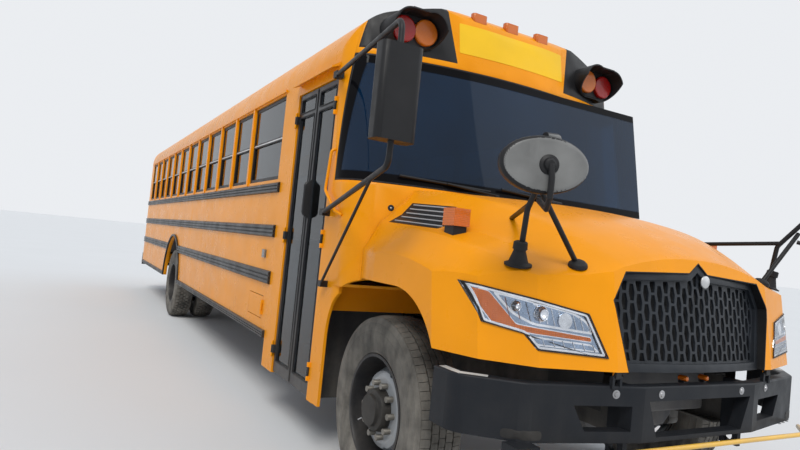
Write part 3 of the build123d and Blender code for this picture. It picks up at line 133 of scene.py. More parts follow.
class Finish:
    """A Principled material, built up from procedural nodes in object space."""

    def __init__(self, name, colour, roughness, metallic=0.0, coat=0.0, shine=0.5):
        self.material = bpy.data.materials.new(name)
        self.material.use_nodes = True
        self.tree = self.material.node_tree
        self.shader = self.tree.nodes["Principled BSDF"]
        self.colour = (*colour, 1)
        for key, value in (("Roughness", roughness), ("Metallic", metallic), ("Coat Weight", coat),
                           ("Coat Roughness", 0.08), ("Specular IOR Level", shine)):
            self.set(key, value)
        self.place = self.node("TexCoord", {}, "Object")

    def set(self, key, value):
        """Sets a shader input to a number, a colour or another node's output."""
        self.join(value, self.shader.inputs[key])

    def join(self, value, socket):
        if isinstance(value, bpy.types.NodeSocket):
            self.tree.links.new(value, socket)
        else:
            socket.default_value = value

    def node(self, kind, inputs, output=0, **settings):
        """Adds a node with its settings and inputs, and gives one of its outputs."""
        made = self.tree.nodes.new("ShaderNode" + kind)
        for key, value in settings.items():
            setattr(made, key, value)
        for key, value in inputs.items():
            self.join(value, made.inputs[key])
        return made.outputs[output]

    def noise(self, scale, detail=3.0, rough=0.55, stretch=(1, 1, 1)):
        """Fractal noise from 0 to 1."""
        place = self.node("Mapping", {"Vector": self.place, "Scale": stretch})
        return self.node("TexNoise", {"Vector": place, "Scale": scale, "Detail": detail, "Roughness": rough},
                         "Fac")

    def wave(self, direction, scale):
        """Even bands from 0 to 1 across one axis."""
        return self.node("TexWave", {"Vector": self.place, "Scale": scale}, "Fac", bands_direction=direction)

    def remap(self, value, low, high, to_low=0.0, to_high=1.0):
        return self.node("MapRange", {"Value": value, "From Min": low, "From Max": high,
                                      "To Min": to_low, "To Max": to_high})

    def maths(self, operation, a, b):
        return self.node("Math", {0: a, 1: b}, operation=operation)

    def times(self, *factors):
        """The product of two or more values."""
        product = factors[0]
        for factor in factors[1:]:
            product = self.maths("MULTIPLY", product, factor)
        return product

    def blend(self, factor, a, b):
        """Mixes two colours."""
        return self.node("Mix", {"Factor": factor, "A": a, "B": b}, "Result", data_type="RGBA")

    def axis(self, index):
        """One coordinate in the row frame."""
        return self.node("SeparateXYZ", {0: self.place}, index)

    def bump(self, height, distance, strength=1.0):
        self.set("Normal", self.node("Bump", {"Height": height, "Distance": distance, "Strength": strength}))

    def shade(self, value):
        """The base colour made lighter or darker."""
        return tuple(min(1.0, c * value) for c in self.colour[:3]) + (1,)

    def mottled(self, noise, dark, light, low=0.3):
        """The base colour between a darker and a lighter shade, by patches of noise."""
        return self.blend(self.remap(noise, low, 0.7), self.shade(dark), self.shade(light))

    def polish(self, noise, smooth, rough, low=0.3, high=0.75):
        """Roughness that changes with patches of noise."""
        self.set("Roughness", self.remap(noise, low, high, smooth, rough))

    def soiled(self, base, amount, top=1.3, dirt=(0.30, 0.27, 0.23)):
        """Road dust that thins out with height."""
        height = self.remap(self.axis(2), 0.35, top, 1.0, 0.0)
        patches = self.remap(self.noise(5.0, 6.0, 0.65), 0.35, 0.75)
        streaks = self.remap(self.noise(9.0, 4.0, 0.6, (1, 1, 0.12)), 0.35, 0.8)
        cover = self.times(self.maths("ADD", patches, streaks), height, amount)
        return self.blend(cover, base, (*dirt, 1))


def paint(name, colour, roughness=0.3, metallic=0.0, coat=0.3, dust=0.25, ripple=0.0004, grain=0.0,
          top=1.3, shine=0.5):
    """Sprayed paint: a faint mottle, road dust low down and a slight orange peel."""
    finish = Finish(name, colour, roughness, metallic, coat, shine)
    finish.set("Base Color", finish.soiled(finish.mottled(finish.noise(2.2, 4.0), 0.93, 1.05), dust, top))
    finish.polish(finish.noise(7.0, 5.0), roughness * 0.8, roughness * 1.35)
    height = finish.noise(45.0, 2.0)
    if grain:
        height = finish.maths("ADD", height, finish.times(finish.noise(900.0, 2.0), grain))
    finish.bump(height, ripple)
    return finish.material


def moulded(name, colour, roughness=0.5, grain_size=420.0, depth=0.0004, dust=0.25, top=1.3):
    """Moulded plastic or rubber with a fine leather-like grain."""
    finish = Finish(name, colour, roughness, shine=0.28)
    base = finish.mottled(finish.noise(6.0, 5.0), 0.8, 1.25)
    finish.set("Base Color", finish.soiled(base, dust, top, (0.24, 0.22, 0.19)))
    finish.polish(finish.noise(11.0, 4.0), roughness * 0.85, roughness * 1.2, high=0.7)
    finish.bump(finish.noise(grain_size, 3.0), depth, 0.6)
    return finish.material


def metal(name, colour, roughness=0.3, stretch=(1, 1, 1), dust=0.2):
    """Bare or plated metal with fine scratches."""
    finish = Finish(name, colour, roughness, 1.0)
    base = finish.mottled(finish.noise(12.0, 5.0), 0.8, 1.1, 0.35)
    finish.set("Base Color", finish.soiled(base, dust, 1.1))
    scratches = finish.noise(80.0, 4.0, 0.6, stretch)
    finish.polish(scratches, roughness * 0.7, roughness * 1.5)
    finish.bump(scratches, 0.0002, 0.4)
    return finish.material


def glass(name, colour, roughness=0.02, smear=0.08, shine=0.5):
    """Glass with a film of dust."""
    finish = Finish(name, colour, roughness, shine=shine)
    finish.set("Transmission Weight", 1.0)
    finish.set("IOR", 1.45)
    finish.set("Base Color", finish.mottled(finish.noise(1.5, 3.0), 0.88, 1.08))
    finish.polish(finish.noise(6.0, 6.0, 0.7), roughness, roughness + smear, 0.45, 0.8)
    return finish.material


def lens(name, colour, transmission=0.35):
    """A coloured lamp lens with fine moulded ribs."""
    finish = Finish(name, colour, 0.12, coat=0.25, shine=0.35)
    finish.set("Transmission Weight", transmission)
    rib_scale = 220.0 / 6
    pattern = finish.times(finish.wave("X", rib_scale), finish.wave("Z", rib_scale))
    finish.set("Base Color", finish.blend(pattern, finish.shade(0.75), finish.shade(1.15)))
    finish.bump(pattern, 0.0012, 0.7)
    return finish.material


yellow = paint("bus_yellow", (0.86, 0.310, 0.003), coat=0.06, dust=0.05, ripple=0.0002, shine=0.14)
white = paint("roof_white", (0.78, 0.79, 0.78), 0.4, coat=0.1, dust=0.1, shine=0.3)
charcoal = paint("bumper_charcoal", (0.010, 0.012, 0.016), 0.42, coat=0.0, dust=0.04, shine=0.18)
chassis_black = paint("chassis_black", (0.016, 0.016, 0.017), 0.5, coat=0.0, dust=0.35, grain=0.5, shine=0.3)
rail_black = paint("rail_black", (0.012, 0.012, 0.013), 0.40, coat=0.1, dust=0.08, shine=0.35)
plastic_black = moulded("plastic_black", (0.010, 0.010, 0.011), 0.45, dust=0.1)
grille_grey = moulded("grille_grey", (0.014, 0.017, 0.022), 0.45, dust=0.05)
rubber = moulded("rubber_black", (0.010, 0.010, 0.011), 0.6, dust=0.15)
tyre_rubber = moulded("tyre_rubber", (0.034, 0.032, 0.029), 0.75, 240.0, 0.0006, dust=0.75, top=1.6)
door_dark = paint("door_dark", (0.016, 0.017, 0.020), 0.35, coat=0.1, dust=0.12, shine=0.3)
wheel_grey = paint("wheel_grey", (0.30, 0.32, 0.34), 0.35, 0.2, coat=0.1, dust=0.25, top=1.6)
rim_black = paint("rim_black", (0.012, 0.012, 0.014), 0.45, coat=0.0, dust=0.10, top=1.6, shine=0.3)
hub_dark = paint("hub_dark", (0.014, 0.013, 0.012), 0.5, coat=0.0, dust=0.08, top=1.6, shine=0.3)
nut_steel = paint("nut_steel", (0.20, 0.19, 0.17), 0.45, 0.6, coat=0.0, dust=0.3, top=1.6)
window_tint = glass("window_tint", (0.07, 0.11, 0.14), shine=0.15)
door_glass = glass("door_glass", (0.12, 0.16, 0.19), shine=0.15)
mirror_glass = metal("mirror_glass", (0.80, 0.82, 0.85), 0.03, dust=0.05)
sign_yellow = paint("sign_yellow", (0.88, 0.53, 0.008), 0.45, coat=0.0, dust=0.0, shine=0.3)
aluminium = metal("aluminium", (0.62, 0.62, 0.62), 0.35, (1, 1, 12), dust=0.1)
chrome = metal("lamp_chrome", (0.80, 0.82, 0.86), 0.16, dust=0.0)
mirror_back = moulded("mirror_back", (0.17, 0.17, 0.165), 0.35, 300.0, 0.0002, dust=0.1)
tape_yellow = paint("tape_yellow", (0.85, 0.55, 0.02), 0.4, coat=0.0, dust=0.1)
tray_blue = metal("lamp_tray", (0.30, 0.38, 0.50), 0.22, dust=0.0)
strip_amber = lens("amber_strip", (0.90, 0.20, 0.012), transmission=0.1)
lamp_dark = paint("lamp_dark", (0.015, 0.018, 0.024), 0.12, dust=0.0)
slat_grey = paint("vent_slat", (0.42, 0.42, 0.42), 0.35, dust=0.1)
tread_tape = moulded("tread_tape", (0.50, 0.50, 0.48), 0.8, 900.0, 0.0006, dust=0.1)
sign_white = paint("sign_white", (0.80, 0.80, 0.80), dust=0.05)
stop_red = lens("stop_red", (0.50, 0.010, 0.008))
amber = lens("amber_lens", (0.92, 0.22, 0.008))
red = lens("red_lens", (0.50, 0.008, 0.006))
lamp_glass = glass("lamp_glass", (0.95, 0.97, 1.0), roughness=0.0, smear=0.02, shine=0.35)
clear = lens("clear_lens", (0.75, 0.78, 0.80), transmission=0.85)
steel = metal("steel", (0.42, 0.42, 0.43), 0.38)
iron = paint("engine_iron", (0.06, 0.06, 0.065), 0.6, coat=0.0, dust=0.4)
floor_rubber = moulded("floor_rubber", (0.03, 0.03, 0.032), 0.6)
vinyl = moulded("seat_vinyl", (0.045, 0.060, 0.095), 0.42, 260.0, 0.0008, dust=0.0)
dash_grey = moulded("dash_grey", (0.06, 0.06, 0.065), 0.55)
arm_yellow = paint("arm_yellow", (0.80, 0.45, 0.03), 0.35)
sign_red = paint("sign_red", (0.45, 0.012, 0.012), 0.35, coat=0.2)


def windshield_glass():
    """Dark glass with the black printed border that hides its bonded edge."""
    finish = Finish("windshield_tint", (0.004, 0.028, 0.075), 0.03, shine=0.08)
    finish.set("IOR", 1.45)
    low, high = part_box("windshield")
    border = 0.055
    blur = 0.004
    within = []
    for axis, limit, sign in ((2, low.z + border, 1), (2, high.z - border, -1), (1, high.y - border, -1)):
        gap = finish.times(finish.maths("SUBTRACT", finish.axis(axis), limit), sign)
        within.append(finish.remap(gap, -blur, blur))
    open_area = finish.times(*within)
    tone = finish.mottled(finish.noise(1.2, 3.0), 0.8, 1.25)
    finish.set("Base Color", finish.blend(open_area, (0.004, 0.004, 0.005, 1), tone))
    finish.set("Transmission Weight", finish.times(open_area, 0.55))
    finish.polish(finish.noise(6.0, 6.0, 0.7), 0.02, 0.07, 0.45, 0.8)
    return finish.material


dark_glass = windshield_glass()


# Mesh tools


def soften(piece, width, segments, angle):
    """Rounds a piece's sharp edges with a modifier."""
    bevel = piece.modifiers.new("bevel", "BEVEL")
    bevel.width = width
    bevel.segments = segments
    bevel.limit_method = "ANGLE"
    bevel.angle_limit = radians(angle)
    bevel.harden_normals = True


class Shape:
    """Geometry gathered into one piece of the scene."""

    def __init__(self):
        self.mesh = bmesh.new()

    def face(self, corners, material=0):
        self.mesh.faces.new(corners).material_index = material

    def surface(self, rows, close_u=False, close_v=False, material=0):
        """A skin through rows of points; close_u joins the last row to the first."""
        grid = [[self.mesh.verts.new(point) for point in row] for row in rows]
        count, width = len(grid), len(grid[0])
        for i in range(count if close_u else count - 1):
            for j in range(width if close_v else width - 1):
                below, beside = grid[(i + 1) % count], (j + 1) % width
                self.face((grid[i][j], grid[i][beside], below[beside], below[j]), material)
        return grid

    def turned(self, profile, centre, axis, steps=32, material=0, closed=False):
        """A profile of (distance along the axis, radius) points turned about an axis."""
        turn = Vector(axis).to_track_quat("X", "Z").to_matrix()
        rows = []
        for step in range(steps):
            c, s = cos(2 * pi * step / steps), sin(2 * pi * step / steps)
            rows.append([Vector(centre) + turn @ Vector((a, r * c, r * s)) for a, r in profile])
        grid = self.surface(rows, close_u=True, close_v=closed, material=material)
        if not closed:
            if profile[0][1] > 1e-6:
                self.face([row[0] for row in grid], material)
            if profile[-1][1] > 1e-6:
                self.face([row[-1] for row in reversed(grid)], material)

    def form(self, rings, material=0):
        """A closed form through rings of points, with its two ends capped."""
        grid = self.surface(rings, close_v=True, material=material)
        self.face(list(reversed(grid[0])), material)
        self.face(grid[-1], material)

    def block(self, low, high, material=0):
        """A box between two corners."""
        (x0, y0, z0), (x1, y1, z1) = low, high
        plan = rect(x0, x1, y0, y1)
        self.form([[(x, y, z) for x, y in plan] for z in (z0, z1)], material)

    def tube(self, points, radius, sides=10, material=0):
        """A round tube along a line of points; radius may be a list."""
        points = [Vector(p) for p in points]
        radii = radius if isinstance(radius, (list, tuple)) else [radius] * len(points)
        tangents = [(points[min(i + 1, len(points) - 1)] - points[max(i - 1, 0)]).normalized()
                    for i in range(len(points))]
        side = tangents[0].orthogonal().normalized()
        rows = []
        for point, tangent, size in zip(points, tangents, radii):
            side = (side - tangent * side.dot(tangent)).normalized()
            over = tangent.cross(side)
            rows.append([point + (side * cos(2 * pi * k / sides) + over * sin(2 * pi * k / sides)) * size
                         for k in range(sides)])
        self.form(rows, material)

    def strap(self, node, edges, towards, lift, depth, material=0):
        """A strap that follows a CAD node, through lines that start at its two rows of points."""
        outer = [[laid(node, point, towards, lift) for point in row] for row in edges]
        inner = [[point + towards * depth for point in row] for row in outer]
        front, back = ([*skin[0], *reversed(skin[1])]
                       for skin in (self.surface(rows, material=material) for rows in (outer, inner)))
        for corners in zip(front, back, back[1:] + back[:1], front[1:] + front[:1]):
            self.face(corners, material)

    def band(self, node, outline, inner, towards, lift, depth, material=0, start=2.0):
        """A closed rim between two outlines of (u, v) points, laid on a CAD node."""
        rows = []
        for points, sink in ((outline, 0), (inner, 0), (inner, depth), (outline, depth)):
            rows.append([laid(node, stand_off(*point, towards, start), towards, lift - sink)
                         for point in points])
        self.surface(rows, close_u=True, close_v=True, material=material)

    def plate(self, node, outline, towards, lift, depth, material=0, start=2.0, pitch=0.03):
        """A plate with a closed outline of (u, v) points, laid on a CAD node."""
        outline = [Vector(point) for point in outline]
        (u0, u1), (v0, v1) = ((min(row), max(row)) for row in zip(*outline))
        fill = [Vector((u0 + pitch * (i + 0.5), v0 + pitch * (j + 0.5)))
                for i in range(int((u1 - u0) / pitch)) for j in range(int((v1 - v0) / pitch))]
        points, _, faces, *_ = delaunay_2d_cdt(outline + fill, [], [list(range(len(outline)))], 1, 1e-5)
        twins = {}
        for index in {i for face in faces for i in face}:
            place = laid(node, stand_off(*points[index], towards, start), towards, lift)
            twins[index] = self.mesh.verts.new(place), self.mesh.verts.new(place + towards * depth)
        edges = {}
        for face in faces:
            for k in (0, 1):
                self.face([twins[i][k] for i in face], material)
            for a, b in zip(face, face[1:] + face[:1]):
                edges.setdefault(frozenset((a, b)), []).append((a, b))
        for (a, b), *shared in edges.values():
            if not shared:
                self.face((twins[a][0], twins[b][0], twins[b][1], twins[a][1]), material)

    def dome(self, centre, normal, radius, height, steps=8, material=0):
        """A low round head, such as a rivet's."""
        profile = [(0.0, radius), (height * 0.7, radius * 0.72), (height, 0.0)]
        self.turned(profile, centre, normal, steps, material)

    def mirror(self):
        """Adds the other side of the bus."""
        whole = self.mesh.verts[:] + self.mesh.edges[:] + self.mesh.faces[:]
        made = bmesh.ops.duplicate(self.mesh, geom=whole)["geom"]
        for vert in made:
            if isinstance(vert, bmesh.types.BMVert):
                vert.co.x = -vert.co.x
        faces = [item for item in made if isinstance(item, bmesh.types.BMFace)]
        bmesh.ops.reverse_faces(self.mesh, faces=faces)

    def done(self, name, body, slot, *materials, bevel=0.0, segments=2, angle=30, replaces=()):
        """Turns what was gathered into a piece that rides a body."""
        bmesh.ops.remove_doubles(self.mesh, verts=self.mesh.verts[:], dist=1e-6)
        bmesh.ops.recalc_face_normals(self.mesh, faces=self.mesh.faces[:])
        data = bpy.data.meshes.new(name)
        self.mesh.to_mesh(data)
        self.mesh.free()
        for polygon in data.polygons:
            polygon.use_smooth = True
        data.set_sharp_from_angle(angle=radians(angle))
        for material in materials:
            data.materials.append(material)
        piece = bpy.data.objects.new(name, data)
        bpy.context.scene.collection.objects.link(piece)
        if bevel:
            soften(piece, bevel, segments, angle)
        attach(piece, body)
        if replaces:
            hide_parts(*replaces)
        return piece


# Flat outlines


def rect(u0, u1, v0, v1):
    return [(u0, v0), (u1, v0), (u1, v1), (u0, v1)]


def corners_of(points):
    """Each point of a closed outline between the ones before and after it."""
    points = [Vector(p) for p in points]
    return zip(points[-1:] + points[:-1], points, points[1:] + points[:1])


def inset(points, amount):
    """A closed outline of 2-D points drawn in by an amount."""
    area = sum(a.x * b.y - b.x * a.y for _, a, b in corners_of(points))
    turn = 1 if area > 0 else -1
    drawn = []
    for before, here, after in corners_of(points):
        first, second = (here - before).normalized(), (after - here).normalized()
        n1, n2 = Vector((-first.y, first.x)) * turn, Vector((-second.y, second.x)) * turn
        drawn.append(here + (n1 + n2) * (amount / max(0.3, 1 + n1.dot(n2))))
    return drawn


def rounded(points, radius, steps=4, longest=0.04):
    """A closed outline with its corners rounded, and its long sides divided."""
    shaped = []
    for before, here, after in corners_of(points):
        reach = min(radius, (here - before).length * 0.45, (after - here).length * 0.45)
        a, b = here + (before - here).normalized() * reach, here + (after - here).normalized() * reach
        shaped += [a.lerp(here, t).lerp(here.lerp(b, t), t) for t in (k / steps for k in range(steps + 1))]
    full = []
    for _, here, after in corners_of(shaped):
        parts = max(1, int((after - here).length / longest))
        full += [here.lerp(after, k / parts) for k in range(parts)]
    return full


# CAD nodes that keep their own shape


def dress(node, material, bevel):
    """Gives a CAD node its material, and soft edges through modifiers alone."""
    piece = nodes[node]
    piece.data.materials.clear()
    piece.data.materials.append(material)
    piece.modifiers.new("weld", "WELD").merge_threshold = 0.0001
    if bevel:
        soften(piece, bevel, 2, 32)


def recolour(node, material, wanted):
    """Gives another material to the solids of a node whose box passes a test."""
    mesh = nodes[node].data
    mesh.materials.append(material)
    for faces, low, high in solids(node):
        if wanted(low, high):
            for face in faces:
                mesh.polygons[face].material_index = len(mesh.materials) - 1


def recolour_faces(node, material, wanted):
    """Gives another material to the faces of a node that pass a test of place and direction."""
    mesh = nodes[node].data
    mesh.materials.append(material)
    for face in mesh.polygons:
        if wanted(face.center, face.normal):
            face.material_index = len(mesh.materials) - 1


for material, bevel, names in (
        (yellow, 0.001, "fuel_door"),
        (yellow, 0.003, "left_side_wall right_side_wall emergency_door"),
        (yellow, 0.004, "front_cap rear_wall"),
        (yellow, 0.006, "cowl_panel"),
        (yellow, 0.012, "hood"),
        (white, 0.003, "roof_shell"),
        (white, 0.004, "roof_hatches"),
        (chassis_black, 0.002, "tie_rod"),
        (chassis_black, 0.003, "frame_rails steering_knuckle_left steering_knuckle_right"),
        (chassis_black, 0.004, "front_axle rear_axle"),
        (charcoal, 0.004, "front_bumper rear_bumper"),
        (floor_rubber, 0.002, "floor_pan"),
        (rail_black, 0.0015, "rub_rails"),
        (plastic_black, 0.001, "wipers"),
        (plastic_black, 0.002, "exterior_housings"),
        (plastic_black, 0.003, "window_frames crossview_mirrors"),
        (plastic_black, 0.004, "rearview_mirrors"),
        (grille_grey, 0.002, "grille"),
        (dark_glass, 0, "windshield"),
        (window_tint, 0, "window_glass"),
        (lamp_glass, 0, "hood_lamps"),
        (door_dark, 0.002, "door_leaf_front door_leaf_rear"),
        (dash_grey, 0.008, "dashboard"),
        (iron, 0.01, "engine_block"),
        (steel, 0.004, "fuel_tank"),
        (steel, 0.002, "exhaust_pipe"),
        (amber, 0.002, "lamps"),
        (wheel_grey, 0.002, "front_wheel_left front_wheel_right rear_wheels_left rear_wheels_right"),
        (arm_yellow, 0.002, "crossing_arm"),
        (sign_red, 0.001, "stop_arm")):
    for node in names.split():
        dress(node, material, bevel)

# Panes are the solids of a door that are thinner than this
pane = 0.012
for node in ("door_leaf_front", "door_leaf_rear"):
    recolour(node, door_glass, lambda low, high: high.x - low.x < pane)
recolour("emergency_door", window_tint, lambda low, high: high.y - low.y < pane)
# The short housings on the curb side that end below 2.1 m
recolour("exterior_housings", yellow, lambda low, high: high.y - low.y < 0.35 and high.z < 2.1 and high.x < 0)
# By their places: the outer lamps near the roof, the red lamps at the back, and the low clear lamps
recolour("lamps", red, lambda low, high: min(abs(low.x), abs(high.x)) > 0.82 and high.z > 2.7)
recolour("lamps", stop_red, lambda low, high: 1.2 < high.z < 1.5 and low.y > 5)
recolour("lamps", clear, lambda low, high: high.z < 1.05 or (low.y < 0 and high.z < 1.5))
# The turn lamps on the fenders and their feet
recolour("hood_lamps", amber, lambda low, high: low.z > 1.52)
recolour("hood_lamps", plastic_black, lambda low, high: 1.3 < low.z < 1.52)
# The two faces of the oval cross-view mirrors
oval_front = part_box("crossview_mirrors")[0].y
for material, facing, reach in ((mirror_back, -1, 0.20), (mirror_glass, 1, 0.24)):
    recolour_faces("crossview_mirrors", material, lambda place, normal: normal.y * facing > 0.8
                   and place.y < oval_front + reach and 1.6 < place.z < 1.9)
# The hood's lower edge under the grille
recolour_faces("hood", plastic_black, lambda place, normal: place.z < 0.9436 and place.y - axle_y < -1.03)

# Wheels: the nuts that stand out of the disc, the rim outside the disc, and the hub inside the ring of nuts
far = 9.0
for side, name in sides:
    for wheel in ("front_wheel_" + name, "rear_wheels_" + name):
        centre = middle(wheel)
        between_nuts = Vector((side * 2, centre.y + 0.1359, centre.z + 0.0442))
        disc = touch(wheel, between_nuts, (-side, 0, 0))[0].x
        for material, inner, outer, proud in ((nut_steel, 0.122, 0.168, 0.0015),
                                              (rim_black, 0.245, far, -far), (hub_dark, -far, 0.12, -far)):
            recolour_faces(wheel, material, lambda place, normal: (place.x - disc) * side > proud
                           and inner < (place.yz - centre.yz).length < outer)

# Tyres

tyre_low, tyre_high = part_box("front_tyre_left")
tyre_radius = tyre_high.z - axle_z
tyre_half = (tyre_high.x - tyre_low.x) / 2
tread_floor = tyre_radius - 0.014
# Half of the section from the bead to the tread: distance from the middle plane, and radius
sidewall = [(0.105, 0.2893), (0.112, 0.300), (0.120, 0.304), (0.128, 0.324), (0.130, 0.327), (0.134, 0.350),
            (0.1385, 0.372), (tyre_half, 0.390), (0.139, 0.410), (0.1375, 0.420), (0.1385, 0.424),
            (0.136, 0.430), (0.1345, 0.446), (0.130, 0.462), (0.131, 0.466), (0.126, 0.474),
            (0.118, tread_floor)]
tread_ribs = ((-0.113, -0.066), (-0.059, -0.022), (-0.016, 0.016), (0.022, 0.059), (0.066, 0.113))
shoulder_drop = 0.011


def tyre(shape, x, y, pitches, gap, skew):
    """One tyre: its carcass and the blocks of its tread; the gap is a share of the pitch."""
    centre = at(x, y, axle_z)
    section = [(-a, r) for a, r in sidewall] + sidewall[::-1]
    shape.turned(section, centre, to_left, 96, closed=True)
    pitch = 2 * pi / pitches
    root = tread_floor - 0.006
    for rib, (inner, outer) in enumerate(tread_ribs):
        shoulder = rib in (0, 4)
        for index in range(pitches):
            start = pitch * (index + (0.5 if rib % 2 else 0))
            end = start + pitch * (1 - gap * (1.5 if shoulder else 1))
            rings = []
            for angle, lean in ((start, 0), ((start + end) / 2, skew), (end, 0)):
                ring = []
                for a, r in ((inner, root), (inner, tyre_radius), (outer, tyre_radius), (outer, root)):
                    edge = abs(a) > 0.1
                    reach = r - (shoulder_drop if edge and r == tyre_radius else 0)
                    place = a if edge else a + lean
                    ring.append(centre + Vector((place, reach * cos(angle), reach * sin(angle))))
                rings.append(ring)
            shape.form(rings)


for side, name in sides:
    single = Shape()
    tyre(single, side * middle("front_tyre_left").x, 0, 72, 0.03, 0.003)
    single.done("tyre_front_" + name, "front_wheel_" + name, "tyre_rubber", tyre_rubber, bevel=0.0012,
                segments=1, replaces=("front_tyre_" + name,))
    low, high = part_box("rear_tyres_" + name)
    twin = Shape()
    for x in (low.x + tyre_half, high.x - tyre_half):
        tyre(twin, x, rear_axle_y, 56, 0.16, 0.006)
    twin.done("tyres_rear_" + name, "rear_wheels_" + name, "tyre_rubber", tyre_rubber, bevel=0.0015,
              segments=1, replaces=("rear_tyres_" + name,))

# Front cap: a blank sign panel

sign = Shape()
sign.plate("front_cap", rounded(rect(-0.474, 0.474, 2.770, 2.990), 0.012), to_back, 0.003, 0.006)
sign.done("sign_panel", "root", "body_yellow", sign_yellow, bevel=0.001)

# Headlamps: what is seen through each clear lens, and the gasket round it, with outlines in (x, z)

lamp_outline = [(-1.149, 1.278), (-0.700, 1.190), (-0.617, 1.005), (-0.930, 1.020), (-0.970, 1.080),
                (-1.100, 1.110)]
amber_outline = [(-1.134, 1.256), (-1.073, 1.243), (-1.034, 1.184), (-0.989, 1.116), (-0.690, 1.086),
                 (-0.688, 1.070), (-0.975, 1.090), (-1.060, 1.112), (-1.092, 1.165)]
upper_outline = [(-1.052, 1.243), (-0.760, 1.184), (-0.700, 1.150), (-0.676, 1.103), (-0.933, 1.124),
                 (-0.996, 1.160), (-1.036, 1.216)]
lower_outline = [(-0.950, 1.076), (-0.684, 1.058), (-0.648, 1.026), (-0.924, 1.038)]
lamp = Shape()
tray, plated, strip, dark, gasket = range(5)
# Each plate: its outline, corner radius, distance behind the lens's face, thickness and material
for outline, corner, behind, thick, material in (
        (inset(lamp_outline, 0.010), 0.015, 0.026, 0.003, tray),
        (inset(upper_outline, -0.004), 0.020, 0.022, 0.003, plated),
        (inset(upper_outline, 0.006), 0.020, 0.020, 0.003, tray),
        (lower_outline, 0.012, 0.019, 0.003, plated),
        (inset(lower_outline, 0.007), 0.010, 0.017, 0.003, tray),
        (inset(amber_outline, -0.004), 0.008, 0.018, 0.003, plated),
        (amber_outline, 0.008, 0.014, 0.004, strip)):
    lamp.plate("hood_lamps", rounded(outline, corner), to_back, -behind, thick, material)
for u, v, size in ((-0.985, 1.192, 0.024), (-0.905, 1.170, 0.034), (-0.800, 1.148, 0.034)):
    seat, normal = touch("hood_lamps", at(u, -2, v), to_back)
    seat += to_back * 0.030
    facing = (normal + to_front).normalized()
    cup = [(0.0, 0.8), (0.009, 1.0), (0.018, 1.0), (0.018, 0.93)]
    dish = [(0.018, 0.93)] + [(0.018 * (0.1 + 0.9 * t * t), 0.93 * t) for t in (0.85, 0.65, 0.45, 0.25, 0.0)]
    bulb = [(0.0, 0.5), (0.010, 0.45), (0.016, 0.2), (0.017, 0.0)]
    for profile, steps, material in ((cup, 24, plated), (dish, 24, dark), (bulb, 20, plated)):
        lamp.turned([(a, r * size) for a, r in profile], seat, facing, steps, material)
# Fine ribs over both reflectors: how many, the first x, their pitch, the height, slope and lean of each end,
# the distance behind the face, and the radius
for count, first, pitch, ends, behind, radius in (
        (11, -1.020, 0.032, ((1.226, 0.20, 0.0), (1.142, 0.10, 0.014)), 0.019, 0.0022),
        (6, -0.905, 0.045, ((1.0703, 0.06, 0.0), (1.0403, 0.06, 0.010)), 0.016, 0.0020)):
    for along in [pitch * k for k in range(count)]:
        lamp.tube([touch("hood_lamps", at(first + along + lean, -2, height - slope * along), to_back)[0]
                   + to_back * behind for height, slope, lean in ends], radius, 6, plated)
# A plated rim inside the lens, and the gasket round it
for drawn, corner, width, lift, depth, material in (
        (0.007, 0.012, 0.009, -0.008, 0.006, plated), (0.0005, 0.010, 0.005, 0.0012, 0.003, gasket)):
    ring = rounded(inset(lamp_outline, drawn), corner)
    lamp.band("hood_lamps", ring, inset(ring, width), to_back, lift, depth, material)
lamp.mirror()
lamp.done("headlamp_internals", "hood", "headlamp_lens", tray_blue, chrome, strip_amber, lamp_dark, rubber)

# Hood: vent slats, latch rings and the feet of the cross-view mirrors

vent = Shape()
vent_rows = []
for j in range(6):
    first, last = -0.240 + 0.020 * j, 0.256
    ys = [first + (last - first) * k / 12 for k in range(13)]
    vent_rows.append([touch("hood", at(-2, y, 1.525 + 0.026 * j + 0.0523 * y), to_left)[0] for y in ys])
vent.form([[row[k] + Vector((-0.001, 0, 0.001)) for row in vent_rows]
           + [row[k] + Vector((0.004, 0, -0.002)) for row in reversed(vent_rows)] for k in range(13)])
for low_row, high_row in zip(vent_rows, vent_rows[1:]):
    slat = [(a + b) / 2 + Vector((-0.003, 0, 0.002)) for a, b in zip(low_row[:-1], high_row[:-1])]
    vent.tube(slat, 0.0042, 8, 1)
vent.mirror()
vent.done("hood_vent_slats", "hood", "trim_black", plastic_black, slat_grey)

feet = Shape()
cone = [(-0.004, 0.062), (0.004, 0.062), (0.007, 0.050), (0.012, 0.044), (0.060, 0.028), (0.068, 0.027),
        (0.070, 0.033), (0.100, 0.031), (0.104, 0.026), (0.104, 0.014)]
pad = [(-0.004, 0.044), (0.004, 0.044), (0.014, 0.041), (0.024, 0.030), (0.030, 0.015), (0.030, 0.012)]
for x, y, profile in ((-0.955, -0.824, cone), (-0.702, -0.931, pad)):
    seat, normal = touch("hood", at(x, y, 3), down)
    feet.turned(profile, seat, (normal - down).normalized(), 32)
# The boss on each oval mirror's face, and the stalk that bends down from it to the arm
seat, normal = touch("crossview_mirrors", at(-1.150, -2, 1.764), to_back)
feet.turned([(-0.003, 0.040), (0.004, 0.038), (0.008, 0.026), (0.020, 0.022), (0.026, 0.014), (0.026, 0.0)],
            seat, normal, 28, 1)
bend = seat + normal * 0.022
feet.tube([bend, bend + Vector((0.004, -0.006, -0.05)), bend + Vector((0.012, 0.004, -0.125)),
           bend + Vector((0.050, 0.060, -0.165)), at(-0.985, -0.955, 1.652)], 0.012, 12, 1)
feet.mirror()
feet.done("crossview_mirror_feet", "hood", "mirror_black", rubber, plastic_black)

